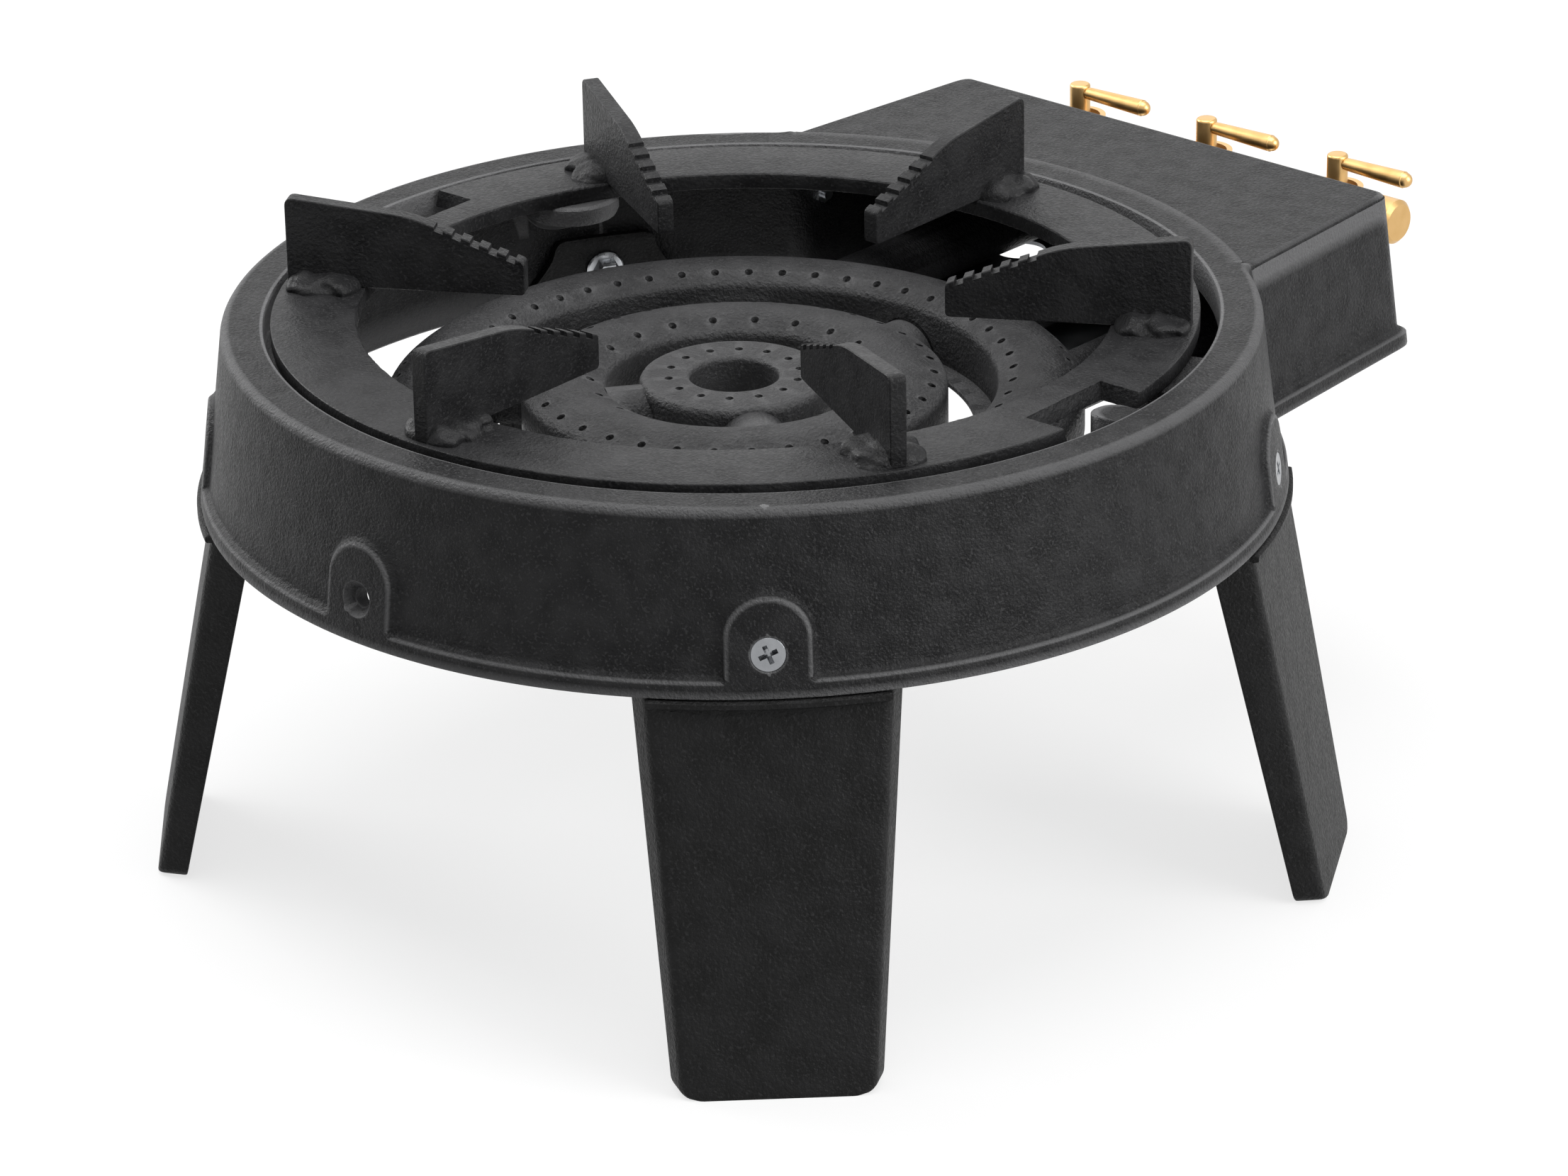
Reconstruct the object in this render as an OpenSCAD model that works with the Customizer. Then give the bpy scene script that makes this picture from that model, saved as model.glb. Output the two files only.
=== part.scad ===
// Three-ring cast-iron wok burner on four legs, with a drop-in pot support and three plug valves.
// Every sub-part is drawn with the drum axis on Z, the housing top at z = 0 and the valve box towards +Y.
// Angles run from -Y towards +X. placed() moves the whole burner onto the ground and centres it.

/* [Stand] */
// Height of the housing's top face above the ground
stand_height = 201; // [180:1:240]
// Angle of the two front legs from the front
front_leg_angle = 45; // [38:1:55]
// Angle of the two rear legs from the front
rear_leg_angle = 120; // [115:1:125]

/* [Drum] */
// Depth of the drum and box, top face to lower lip
drum_depth = 64; // [60:0.5:70]
// Outer radius of the drum wall at the top
drum_top_r = 184; // [180:0.5:188]
// How much wider the drum wall is at the bottom
drum_flare = 8; // [5:0.5:10]
// Thickness of the cast wall
wall = 6; // [5:0.5:7]
// Width of the flat rim round the pot ring's recess
rim_width = 15; // [13:0.5:18]
// Depth of the rim round the recess
rim_depth = 13; // [11:0.5:15]
// Rounding of the drum's top edge
top_round = 3; // [2:0.5:4]
// How far the lower lip and the screw bosses stand out
lip_out = 2.4; // [1.5:0.1:3]
// Height of the lower lip
lip_height = 8; // [6:0.5:10]
// Half width of an arched screw boss
boss_half = 14.5; // [13:0.5:17]
// Depth of a boss's arch top below the housing top
boss_top_depth = 28.5; // [25:0.5:31]
// Radius of the half-round corbels that carry the pot ring
corbel_r = 17.5; // [15:0.5:19]
// How far a corbel shows inside the pot ring
corbel_show = 3; // [1:0.5:4]
// Angle of the two front corbels from the front
front_corbel_angle = 30; // [28:1:60]
// Angle of the two rear corbels from the front
rear_corbel_angle = 112; // [108:1:116]
// Height of a corbel's straight part under the pot ring
corbel_height = 7.5; // [5:0.5:9]
// Radius of the keys that stand in the ring's notches
key_r = 7; // [4:0.5:8]
// Angle of the right key from the front, the left one standing opposite
key_angle = 95; // [90:0.5:96]
// Clearance between a key and the floor of its notch
key_clear = 2; // [1:0.25:4]

/* [Box] */
// Distance of the box's rear top edge from the drum axis
box_rear_y = 242; // [236:1:250]
// Width of the box's rear top edge
box_rear_width = 205; // [196:1:214]
// Angle by which each side narrows towards the rear
box_taper = 5; // [3:0.5:6]
// Draft of the box's sides
side_draft = 3; // [2:0.5:4]
// Draft of the box's rear wall
rear_draft = 7.5; // [5:0.5:9]
// How far the box's top lies below the drum's rim
box_drop = 1.5; // [0.5:0.25:3]
// Distance of the box's own screw from the corner with the drum
box_screw_clear = 7; // [6.5:0.5:12]
// Depth of the box's own screw below the top
box_screw_depth = 26; // [22:0.5:30]
// Thickness of the plate under the mixing tubes
plate_thick = 1.5; // [1:0.25:2]
// Space between the mixing tubes and the plate
plate_clear = 3; // [2:0.5:4]
// Length of the plate in front of the box's rear wall
plate_length = 90; // [60:1:95]
// Radius of the plate's three air holes
plate_hole_r = 10; // [8:0.5:12]

/* [Pot support] */
// Thickness of the pot ring
ring_thick = 6; // [5:0.5:8]
// Clearance between the pot ring and its recess
ring_gap = 4.5; // [3.5:0.25:6]
// How far the loose ring lies towards the left of its recess
ring_shift = 3; // [0:0.25:3]
// Width of the pot ring
ring_width = 30.5; // [28:0.5:34]
// How far the loose ring is turned in its seat
ring_turn = 2.2; // [-2.5:0.1:2.5]
// Width of a notch in the ring's rim
notch_width = 42; // [36:1:46]
// Depth of a notch in the ring's rim
notch_depth = 18; // [14:0.5:20]
// Thickness of a fin
fin_thick = 6; // [5:0.5:7]
// Distance of a fin's outer end from the ring's rim
fin_inset = 2; // [1:0.5:6]
// Length of a fin
fin_length = 87; // [80:0.5:94]
// Length of the plain stretch of a fin's top
fin_plain = 48; // [44:0.5:54]
// Height of a fin at its outer end
fin_outer_height = 33; // [30:0.5:38]
// Height of a fin where the plain stretch meets the toothed one
fin_bend_height = 27.5; // [24:0.5:29]
// Height of a fin at its inner end
fin_inner_height = 12.5; // [10:0.5:16]
// Depth of the gripping notches
tooth_depth = 2; // [1:0.25:3]
// Radius of the weld beads at a fin's root
weld_r = 4.5; // [3:0.5:6]

/* [Burner rings] */
// How far the burner castings stand in front of the drum axis
burner_shift = 4.5; // [2:0.5:6]
// Depth of the burner ring crests below the housing top
crest_depth = 22.5; // [20:0.5:25]
// Height of the burner castings
burner_height = 22.5; // [20:0.5:24]
// Wall of the burner castings
burner_wall = 4.5; // [4:0.25:5.5]
// Metal above the burner chambers
burner_roof = 5.5; // [5:0.25:6.5]
// Radius of the hole through the centre burner
hub_bore_r = 15.8; // [14:0.2:17]
// Width of the centre burner's ring
hub_width = 18.2; // [17:0.2:20]
// How far the centre burner lies below the other crests
hub_drop = 2; // [1:0.25:3]
// Space between the centre burner and the middle ring
hub_space = 11.5; // [10:0.5:13]
// Width of the middle ring
middle_width = 30.5; // [29:0.5:33]
// Space between the middle ring and the outer ring
ring_space = 17.5; // [15:0.5:19]
// Width of the outer ring
outer_width = 31; // [30:0.5:34]
// How far the outer ring's foot reaches in under the gap
foot_reach = 8; // [4:0.5:10]
// Thickness of the outer ring's foot
foot_thick = 2; // [1.5:0.25:3]
// Drop of a ring's inner edge below its crest
bevel_drop = 4.2; // [3:0.2:5]
// Width of a ring's inner bevel
inner_bevel = 9; // [7:0.5:10]
// Width of the middle ring's outer bevel
outer_bevel = 12; // [10:0.5:13]
// Distance of an inner row of flame holes from a ring's inner edge
inner_row = 5.75; // [4.5:0.25:6.5]
// Distance of the outer row of flame holes from the middle ring's outer edge
outer_row = 5; // [4:0.25:6.5]
// Distance of the centre burner's flame holes from its bore
hub_row = 7.7; // [7:0.1:9]
// Radius of the flame holes
flame_r = 1.5; // [0.9:0.05:1.7]
// Radius of the bridges between the castings
bridge_r = 8; // [6:0.5:9]
// Play between neighbouring castings
cast_gap = 0.3; // [0.1:0.05:0.5]
// Distance of the burner fixing screws from the drum wall
arm_screw_inset = 24; // [20:0.5:26]
// Half width of a burner arm
arm_half = 10; // [8:0.5:12]
// Angle of the two burner arms from the front
arm_angle = 20; // [16:1:23]

/* [Mixing tubes] */
// Depth of the mixing tubes' axes below the housing top
tube_depth = 46; // [44:0.5:47]
// Outer radius of a mixing tube
tube_r = 11; // [10:0.25:12]
// Wall of a mixing tube
tube_wall = 3; // [2.5:0.25:3.5]
// Metal round a tube that passes through another casting
tunnel_wall = 2.6; // [2:0.1:3]

/* [Legs] */
// Distance of a leg's front face behind the edge of the lip
leg_inset = 5.2; // [4:0.2:7]
// Outward lean of a leg
leg_splay = 11.2; // [8:0.2:14]
// Width of a leg's front face at the top
leg_top_width = 82; // [74:1:88]
// Width of a leg's front face at the ground
leg_foot_width = 65; // [60:1:78]
// Depth of a leg's flanges at the top
flange_top = 14.5; // [12:0.5:18]
// Depth of a leg's flanges at the ground
flange_foot = 10.5; // [9:0.5:13]
// Outward draft of the flanges
flange_draft = 18; // [10:1:22]
// Thickness of a leg's face, flanges and tongue
leg_thick = 4.8; // [4:0.2:6]
// Height of the collar ledge under the lip
collar_height = 3.4; // [2.5:0.1:4.5]
// How far the collar ledge stands out beyond the lip
collar_out = 1.4; // [0:0.1:2]
// Height of a leg's tongue inside the drum
tongue_height = 27; // [24:0.5:30]
// Width of a tongue's upper edge
tongue_width = 40; // [34:1:44]
// Cut of the two lower corners of a leg
foot_cut = 5.5; // [3:0.5:8]

/* [Valves] */
// Distance between neighbouring valves
valve_pitch = 63; // [60:0.5:66]
// Height of the spindle tops above the housing top
spindle_top = -1.5; // [-3:0.1:2]
// Radius of a valve body
valve_r = 10; // [9:0.25:11]
// Depth of a valve's cup rim below the spindle top
cup_drop = 12.6; // [11:0.2:14]
// Depth of the cup itself
cup_depth = 7; // [5:0.5:8]
// Wall of the cup
cup_wall = 2.2; // [1.8:0.1:2.6]
// Radius of the bore in which a plug turns
plug_r = 5; // [4.6:0.1:5.5]
// Running clearance round the plug
plug_gap = 0.05; // [0.02:0.01:0.1]
// Radius of a spindle
spindle_r = 4; // [3.5:0.1:4.4]
// Length of a lever from the spindle axis
lever_reach = 34.5; // [30:0.5:38]
// Lever radius beside the spindle
lever_root_r = 2.3; // [2:0.1:2.6]
// Lever radius near the tip
lever_tip_r = 3.2; // [2.8:0.1:3.6]
// Depth of a lever's axis below the spindle top
lever_drop = 3.2; // [3:0.1:6]
// Radius of the gas passages
port_r = 2; // [1.5:0.1:2.4]
// Radius of an injector
injector_r = 4; // [3.5:0.1:4.5]

/* [Manifold] */
// Distance of the manifold bar behind the valve spindles
bar_back = 19; // [19:0.5:24]
// Depth of the bar's axis below the housing top
bar_depth = 31; // [27:0.1:32]
// Radius of the bar
bar_r = 8.6; // [8:0.1:9]
// Length of the bar beyond the outer valves
bar_overhang = 15.5; // [12:0.5:25]
// Outside radius of the inlet's gas thread
inlet_r = 6.58; // [6:0.01:7]
// Length of the inlet thread
inlet_length = 14; // [10:0.5:18]
// Thickness of the manifold brackets
bracket_thick = 3; // [2:0.25:4]
// Width of the manifold brackets
bracket_width = 18; // [14:0.5:22]

/* [Fasteners] */
// Shank radius of the leg and burner screws
screw_r = 3; // [2.5:0.25:3.5]
// Radial clearance of a screw in its hole
screw_gap = 0.3; // [0.2:0.05:0.5]
// Width across flats of the leg and burner nuts
nut_flats = 10; // [9:0.5:12]
// Height of the leg and burner nuts
nut_height = 6.5; // [5:0.5:8]
// Radius of the leg nuts' flanges
nut_flange_r = 7.3; // [6:0.1:8]
// Depth of the leg screws and of the empty hole below the housing top
screw_depth = 48.5; // [46:0.5:50]
// Shank radius of the bracket screws
bracket_screw_r = 2.5; // [2:0.25:3]
// Shank radius of the box's own screw
box_screw_r = 2; // [1.5:0.25:2.5]

/* [Hidden] */
$fn = 96;

// Colours of the enamelled castings, the burners, the gas fittings and the plated steel
enamel = "#3a3b3c";
cast_iron = "#444546";
brass = "#c9983f";
zinc = "#c4c6c8";

// Overlap used where one solid is cut from, or joined to, another
bite = 1;
// Size of the blocks that cut along a plane
block = 900;
// Seating gap between parts that are bolted together
seat_gap = 0.2;

// Drum and recess
drum_foot_r = drum_top_r + drum_flare;
lip_r = drum_foot_r + lip_out;
draft_angle = atan(drum_flare / drum_depth);
recess_r = drum_top_r - rim_width;
ring_r = recess_r - ring_gap;
ring_inner_r = ring_r - ring_width;
leg_angles = [front_leg_angle, -front_leg_angle, rear_leg_angle, -rear_leg_angle];
corbel_angles = [front_corbel_angle, -front_corbel_angle, rear_corbel_angle, -rear_corbel_angle];

// Gas train behind the box's rear lip
rear_lip_y = box_rear_y + drum_depth * tan(rear_draft) + lip_out / cos(rear_draft);
valve_y = rear_lip_y + valve_r + seat_gap;
valve_x = [-valve_pitch, 0, valve_pitch];
bar_y = valve_y + bar_back;
bar_half = valve_pitch + bar_overhang;
mid_y = (bar_y + bar_r - lip_r) / 2;

// Outer radius of the plain drum wall at a depth below the top
function wall_r(depth) = drum_top_r + drum_flare * depth / drum_depth;
// Quarter arc of points for a rounded outer edge, from the side to the top
function round_edge(r, z, e) = [for (a = [0:15:90]) [r - e + e * cos(a), z - e + e * sin(a)]];
// How far a flat-ended bar of a half width reaches inside a round wall
function reach(r, half) = sqrt(pow(r - cast_gap, 2) - half * half);

module placed() {
    translate([0, -mid_y, stand_height]) children();
}

// Turns a piece drawn at the front to an angle round the drum
module toward(angle) {
    rotate([0, 0, angle]) children();
}

// Local frame at a leg screw: z runs out along the wall's normal, z = 0 on the boss face
module at_screw(angle) {
    toward(angle)
        translate([0, -wall_r(screw_depth) - lip_out, -screw_depth])
            rotate([90 - draft_angle, 0, 0]) children();
}

// Solid of revolution under a wall that stands out by a given amount
module drum_solid(out, top, bottom) {
    rotate_extrude()
        polygon([[0, -bottom], [wall_r(bottom) + out, -bottom], [wall_r(top) + out, -top], [0, -top]]);
}

module drum_outside() {
    lip_top = drum_depth - lip_height;
    rotate_extrude()
        polygon(concat([[0, -drum_depth], [lip_r, -drum_depth],
                        [wall_r(lip_top + lip_out) + lip_out, -lip_top - lip_out],
                        [wall_r(lip_top), -lip_top]],
                       round_edge(wall_r(top_round), 0, top_round), [[0, 0]]));
}

// Half space beside a plane through the origin, on the side of falling x or falling y
module left_of(inset) {
    translate([-block - inset, -block / 2, -block / 2]) cube(block);
}

module before(inset) {
    translate([-block / 2, -block - inset, -block / 2]) cube(block);
}

// Half spaces bounded by the box's sides and rear wall, moved in by an inset
module box_side(inset) {
    translate([box_rear_width / 2, box_rear_y, 0])
        rotate([0, 0, box_taper]) rotate([0, -side_draft, 0])
            left_of(inset);
}

module box_rear(inset) {
    translate([0, box_rear_y, 0]) rotate([rear_draft, 0, 0]) before(inset);
}

module box_solid(inset, top, bottom) {
    intersection() {
        box_side(inset);
        mirror([1, 0, 0]) box_side(inset);
        box_rear(inset);
        translate([-block / 2, 0, -bottom]) cube([block, block, bottom - top]);
    }
}

module screw_boss(angle) {
    intersection() {
        drum_solid(lip_out, boss_top_depth - bite, drum_depth);
        toward(angle) rotate([90, 0, 0]) linear_extrude(lip_r + bite) {
            translate([0, -boss_top_depth - boss_half]) circle(boss_half);
            translate([-boss_half, -drum_depth])
                square([2 * boss_half, drum_depth - boss_top_depth - boss_half]);
        }
    }
}

// Corbel under the pot ring: a half-round shelf on a tapered foot, grown out of the wall
corbel_at = ring_inner_r + corbel_r - corbel_show;
corbel_foot = 10;

module corbel(angle) {
    toward(angle) translate([0, -corbel_at, -ring_thick - corbel_height]) {
        cylinder(r = corbel_r, h = corbel_height);
        translate([-corbel_r, -drum_foot_r + corbel_at, 0])
            cube([2 * corbel_r, drum_foot_r - corbel_at, corbel_height]);
        translate([0, 0, -corbel_foot]) cylinder(r1 = corbel_r / 2, r2 = corbel_r, h = corbel_foot);
    }
}

// Key in a notch of the pot ring: a half-round lug that stops halfway up the ring
key_at = ring_r - notch_depth + ring_shift + key_clear + key_r;

module ring_key(angle) {
    toward(angle) translate([0, -key_at, -rim_depth]) {
        cylinder(r = key_r, h = rim_depth - ring_thick / 2);
        translate([-key_r, -drum_foot_r + key_at, 0])
            cube([2 * key_r, drum_foot_r - key_at, rim_depth - ring_thick / 2]);
    }
}

// The burner castings stand a little in front of the drum axis
module at_burner() {
    translate([0, -burner_shift, 0]) children();
}

// Burner shelves, arms and their screws
cast_floor = crest_depth + burner_height;
arm_thick = 7;
shelf_thick = 6;
shelf_margin = 3;
arm_screw_r = wall_r(cast_floor) - wall - arm_screw_inset - burner_shift;
hole_r = screw_r + screw_gap;
head_r = 2 * screw_r;
sink_depth = screw_r + seat_gap;

module burner_shelf(angle) {
    half = arm_half + shelf_margin;
    toward(angle) translate([-half, -wall_r(cast_floor), -cast_floor - shelf_thick])
        cube([2 * half, wall_r(cast_floor) - arm_screw_r + arm_half, shelf_thick]);
}

module housing() {
    color(enamel) placed() difference() {
        union() {
            difference() {
                union() {
                    drum_outside();
                    box_solid(0, box_drop, drum_depth);
                    box_solid(-lip_out, drum_depth - lip_height, drum_depth);
                    for (angle = concat(leg_angles, [0])) screw_boss(angle);
                }
                // Space inside the wall, the recess for the pot ring and the inside of the box
                drum_solid(-wall, rim_depth, drum_depth + bite);
                translate([0, 0, -rim_depth - bite]) cylinder(r = recess_r, h = rim_depth + 2 * bite);
                difference() {
                    box_solid(wall, box_drop + wall, drum_depth + bite);
                    translate([0, 0, -rim_depth]) cylinder(r = recess_r + wall, h = rim_depth);
                }
            }
            intersection() {
                union() {
                    for (angle = corbel_angles) corbel(angle);
                    for (turn = [0, 180]) ring_key(key_angle + turn);
                    for (side = [-1, 1]) at_burner() burner_shelf(side * arm_angle);
                }
                drum_solid(-wall / 2, 0, drum_depth);
            }
        }
        // Countersunk screw holes, one of them left empty at the front
        for (angle = concat(leg_angles, [0])) at_screw(angle) {
            translate([0, 0, -4 * wall]) cylinder(r = hole_r, h = 6 * wall);
            translate([0, 0, -sink_depth])
                cylinder(r1 = hole_r, r2 = hole_r + sink_depth + bite, h = sink_depth + bite);
        }
        for (side = [-1, 1]) at_burner() at_arm_screw(side) translate([0, 0, -2 * shelf_thick])
            cylinder(r = hole_r, h = 3 * shelf_thick);
        // Seats of the mixing tubes and holes of the bracket screws in the rear wall
        for (x = valve_x) along_tube(x, spigot_r + seat_gap, mouth_y - wall, mouth_y + 4 * wall);
        for (side = [-1, 1]) at_bracket(side) translate([0, 0, -2 * wall])
            cylinder(r = bracket_screw_r + screw_gap, h = 3 * wall);
        at_box_screw() translate([0, 0, -2 * wall]) cylinder(r = box_screw_r + screw_gap, h = 4 * wall);
    }
}

// Pot support
module at_ring(turn) {
    translate([-ring_shift, 0, 0]) toward(ring_turn + turn) children();
}

module pot_ring() {
    color(enamel) placed() at_ring(0) translate([0, 0, -ring_thick]) difference() {
        cylinder(r = ring_r, h = ring_thick);
        translate([0, 0, -bite]) cylinder(r = ring_inner_r, h = ring_thick + 2 * bite);
        for (turn = [0, 180]) rotate([0, 0, turn])
            translate([ring_r - notch_depth, -notch_width / 2, -bite])
                cube([2 * notch_depth, notch_width, ring_thick + 2 * bite]);
    }
}

fin_count = 6;
fin_outer_r = ring_r - fin_inset;
fin_inner_r = fin_outer_r - fin_length;
fin_bend_r = fin_outer_r - fin_plain;
tooth_count = 5;
tooth_pitch = (fin_bend_r - fin_inner_r) / (tooth_count + 1);
fin_slope = (fin_bend_height - fin_inner_height) / (fin_bend_r - fin_inner_r);
function fin_top(r) = fin_inner_height + fin_slope * (r - fin_inner_r);

// Upright outline of a fin, its toothed stretch cut by square notches half a pitch wide
module fin_outline() {
    polygon(concat([[fin_inner_r, 0], [fin_outer_r, 0], [fin_outer_r, fin_outer_height],
                    [fin_bend_r, fin_bend_height]],
                   [for (i = [tooth_count:-1:1], k = [0:3])
                        let (r = fin_inner_r + (i - (k > 1 ? 0.5 : 0)) * tooth_pitch)
                            [r, fin_top(r) - (k == 1 || k == 2 ? tooth_depth : 0)]],
                   [[fin_inner_r, fin_inner_height]]));
}

module fin_at(index) {
    at_ring(index * 360 / fin_count) children();
}

module pot_fin(index) {
    color(enamel) placed() fin_at(index) rotate([90, 0, -90])
        translate([0, 0, -fin_thick / 2]) linear_extrude(fin_thick) fin_outline();
}

// Weld beads lie in the corners between each fin and the ring
module pot_welds() {
    first = ring_inner_r + weld_r;
    last = fin_outer_r - weld_r;
    color(enamel) placed() for (index = [0:fin_count - 1], side = [-1, 1])
        fin_at(index) intersection() {
            translate([side * fin_thick / 2, 0, 0]) {
                translate([0, -first, 0]) rotate([90, 0, 0]) cylinder(r = weld_r, h = last - first);
                translate([0, -first, 0]) sphere(weld_r);
                translate([0, -last, 0]) sphere(weld_r);
            }
            translate([side > 0 ? fin_thick / 2 : -fin_thick / 2 - 2 * weld_r, -block / 2, 0])
                cube([2 * weld_r, block, 2 * weld_r]);
        }
}

// Burner castings
hub_r = hub_bore_r + hub_width;
middle_in_r = hub_r + hub_space;
middle_out_r = middle_in_r + middle_width;
outer_in_r = middle_out_r + ring_space;
outer_out_r = outer_in_r + outer_width;
chamber_top = crest_depth + burner_roof;
chamber_corner = 4;
base_thick = 2.5;
brow_width = 8;
brow_drop = 1.6;
flank_drop = 7.5;
hub_holes = 14;
middle_inner_holes = 21;
middle_outer_holes = 34;
outer_inner_holes = 50;
outer_side_holes = 66;
hub_bridge_angles = [-35, 54];
middle_bridge_angles = [-58, 62];

module middle_body() {
    rotate_extrude()
        polygon([[middle_in_r, -cast_floor], [middle_out_r, -cast_floor],
                 [middle_out_r, -crest_depth - bevel_drop], [middle_out_r - outer_bevel, -crest_depth],
                 [middle_in_r + inner_bevel, -crest_depth], [middle_in_r, -crest_depth - bevel_drop]]);
}

// The outer ring's flank is steep, so that its side holes point outwards
module outer_body() {
    rotate_extrude()
        polygon([[outer_in_r, -cast_floor], [outer_out_r, -cast_floor],
                 [outer_out_r, -crest_depth - flank_drop],
                 [outer_out_r - brow_width, -crest_depth - brow_drop],
                 [outer_out_r - brow_width - burner_roof, -crest_depth],
                 [outer_in_r + inner_bevel, -crest_depth], [outer_in_r, -crest_depth - bevel_drop]]);
}

module ring_chamber(in_r, out_r, play) {
    inner = in_r + burner_wall + play;
    outer = out_r - burner_wall - play;
    rotate_extrude()
        polygon([[inner, -cast_floor - bite], [outer, -cast_floor - bite],
                 [outer, -chamber_top - chamber_corner], [outer - chamber_corner, -chamber_top],
                 [inner, -chamber_top]]);
}

// Mixing tubes run back into seats in the rear wall
tube_bore_r = tube_r - tube_wall;
spigot_r = tube_bore_r + tube_wall / 2;
tunnel_r = tube_r + seat_gap;
sleeve_r = tunnel_r + tunnel_wall;
mouth_y = box_rear_y + (tube_depth - tube_r) * tan(rear_draft) - wall / cos(rear_draft) - seat_gap;
spigot_length = wall;
// Mouths of the mixing tubes, counted from the burners' own axis
tube_mouth = mouth_y + burner_shift;
hub_feed_y = hub_bore_r;
middle_feed_y = 8;
outer_feed_y = sqrt(pow((outer_in_r + outer_out_r) / 2, 2) - pow(valve_pitch, 2)) - burner_wall;

module along_tube(x, r, from_y, to_y) {
    translate([x, from_y, -tube_depth]) rotate([-90, 0, 0]) cylinder(r = r, h = to_y - from_y);
}

module mixing_tube(x, from_y) {
    along_tube(x, tube_r, from_y, tube_mouth);
    along_tube(x, spigot_r, tube_mouth - bite, tube_mouth + spigot_length);
}

module tube_bore(x, from_y) {
    along_tube(x, tube_bore_r, from_y + burner_wall, tube_mouth + spigot_length + bite);
}

module flame_holes(count, r) {
    for (i = [0:count - 1]) toward((i + 0.5) * 360 / count) translate([0, -r, -chamber_top - bite])
        cylinder(r = flame_r, h = burner_roof + 2 * bite, $fn = 24);
}

module bridge(angle, from_r, to_r) {
    toward(angle) translate([0, -from_r, -crest_depth - burner_roof - bridge_r]) rotate([90, 0, 0])
        cylinder(r = bridge_r, h = reach(to_r, bridge_r) - from_r);
}

module centre_burner() {
    crest = crest_depth + hub_drop;
    color(cast_iron) placed() at_burner() difference() {
        union() {
            rotate_extrude()
                polygon(concat([[0, -cast_floor], [hub_r, -cast_floor]],
                               round_edge(hub_r, -crest, top_round), [[0, -crest]]));
            mixing_tube(0, hub_feed_y);
            along_tube(0, sleeve_r, hub_bore_r + burner_wall, reach(middle_in_r, sleeve_r));
            for (angle = hub_bridge_angles) bridge(angle, hub_r - burner_wall, middle_in_r);
        }
        ring_chamber(hub_bore_r, hub_r, 0);
        tube_bore(0, hub_feed_y);
        translate([0, 0, -block / 2]) cylinder(r = hub_bore_r, h = block);
        flame_holes(hub_holes, hub_bore_r + hub_row);
    }
}

module middle_burner() {
    color(cast_iron) placed() at_burner() difference() {
        union() {
            difference() {
                union() {
                    middle_body();
                    mixing_tube(-valve_pitch, middle_feed_y);
                    for (angle = middle_bridge_angles) bridge(angle, middle_out_r - burner_wall, outer_in_r);
                }
                ring_chamber(middle_in_r, middle_out_r, 0);
            }
            intersection() {
                middle_body();
                along_tube(0, sleeve_r, 0, middle_out_r);
            }
            along_tube(0, sleeve_r, middle_out_r - bite, reach(outer_in_r, sleeve_r));
        }
        along_tube(0, tunnel_r, 0, outer_out_r);
        tube_bore(-valve_pitch, middle_feed_y);
        flame_holes(middle_inner_holes, middle_in_r + inner_row);
        flame_holes(middle_outer_holes, middle_out_r - outer_row);
    }
}

module burner_arm(angle) {
    inner = outer_out_r - burner_wall;
    toward(angle) translate([-arm_half, -arm_screw_r - arm_half, -cast_floor])
        cube([2 * arm_half, arm_screw_r + arm_half - inner, arm_thick]);
}

// Flat foot round the inside of the outer ring, cut away for the centre burner's tube
module outer_foot() {
    difference() {
        translate([0, 0, -cast_floor - foot_thick + bite / 2]) difference() {
            cylinder(r = outer_in_r + burner_wall / 2, h = foot_thick);
            translate([0, 0, -bite]) cylinder(r = outer_in_r - foot_reach, h = foot_thick + 2 * bite);
        }
        along_tube(0, sleeve_r + 2 * seat_gap, 0, outer_out_r);
    }
}

module outer_burner() {
    color(cast_iron) placed() at_burner() difference() {
        union() {
            difference() {
                union() {
                    outer_body();
                    mixing_tube(valve_pitch, outer_feed_y);
                    for (side = [-1, 1]) burner_arm(side * arm_angle);
                }
                ring_chamber(outer_in_r, outer_out_r, 0);
            }
            for (x = [0, -valve_pitch]) intersection() {
                outer_body();
                along_tube(x, sleeve_r, 0, outer_out_r);
            }
            outer_foot();
        }
        for (x = [0, -valve_pitch]) along_tube(x, tunnel_r, 0, outer_out_r + bite);
        tube_bore(valve_pitch, outer_feed_y);
        flame_holes(outer_inner_holes, outer_in_r + inner_row);
        // Side holes lean out through the flank
        for (i = [0:outer_side_holes - 1]) toward((i + 0.5) * 360 / outer_side_holes)
            translate([0, -outer_out_r + brow_width / 2, -crest_depth - (brow_drop + flank_drop) / 2])
                rotate([45, 0, 0]) translate([0, 0, -brow_width])
                    cylinder(r = flame_r, h = 2 * brow_width, $fn = 24);
        for (side = [-1, 1]) at_arm_screw(side) translate([0, 0, -bite])
            cylinder(r = hole_r, h = arm_thick + 2 * bite);
    }
}

// Steel floors that close the burner chambers from below, cut away round the tubes
module chamber_floor(in_r, out_r) {
    intersection() {
        ring_chamber(in_r, out_r, seat_gap);
        translate([-block / 2, -block / 2, -cast_floor]) cube([block, block, base_thick]);
    }
}

module centre_base() {
    color(zinc) placed() at_burner() difference() {
        chamber_floor(hub_bore_r, hub_r);
        along_tube(0, sleeve_r + seat_gap, 0, middle_in_r);
    }
}

module middle_base() {
    color(zinc) placed() at_burner() difference() {
        chamber_floor(middle_in_r, middle_out_r);
        along_tube(0, sleeve_r + seat_gap, 0, outer_in_r);
        along_tube(-valve_pitch, tunnel_r, middle_feed_y - seat_gap, outer_in_r);
    }
}

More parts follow.
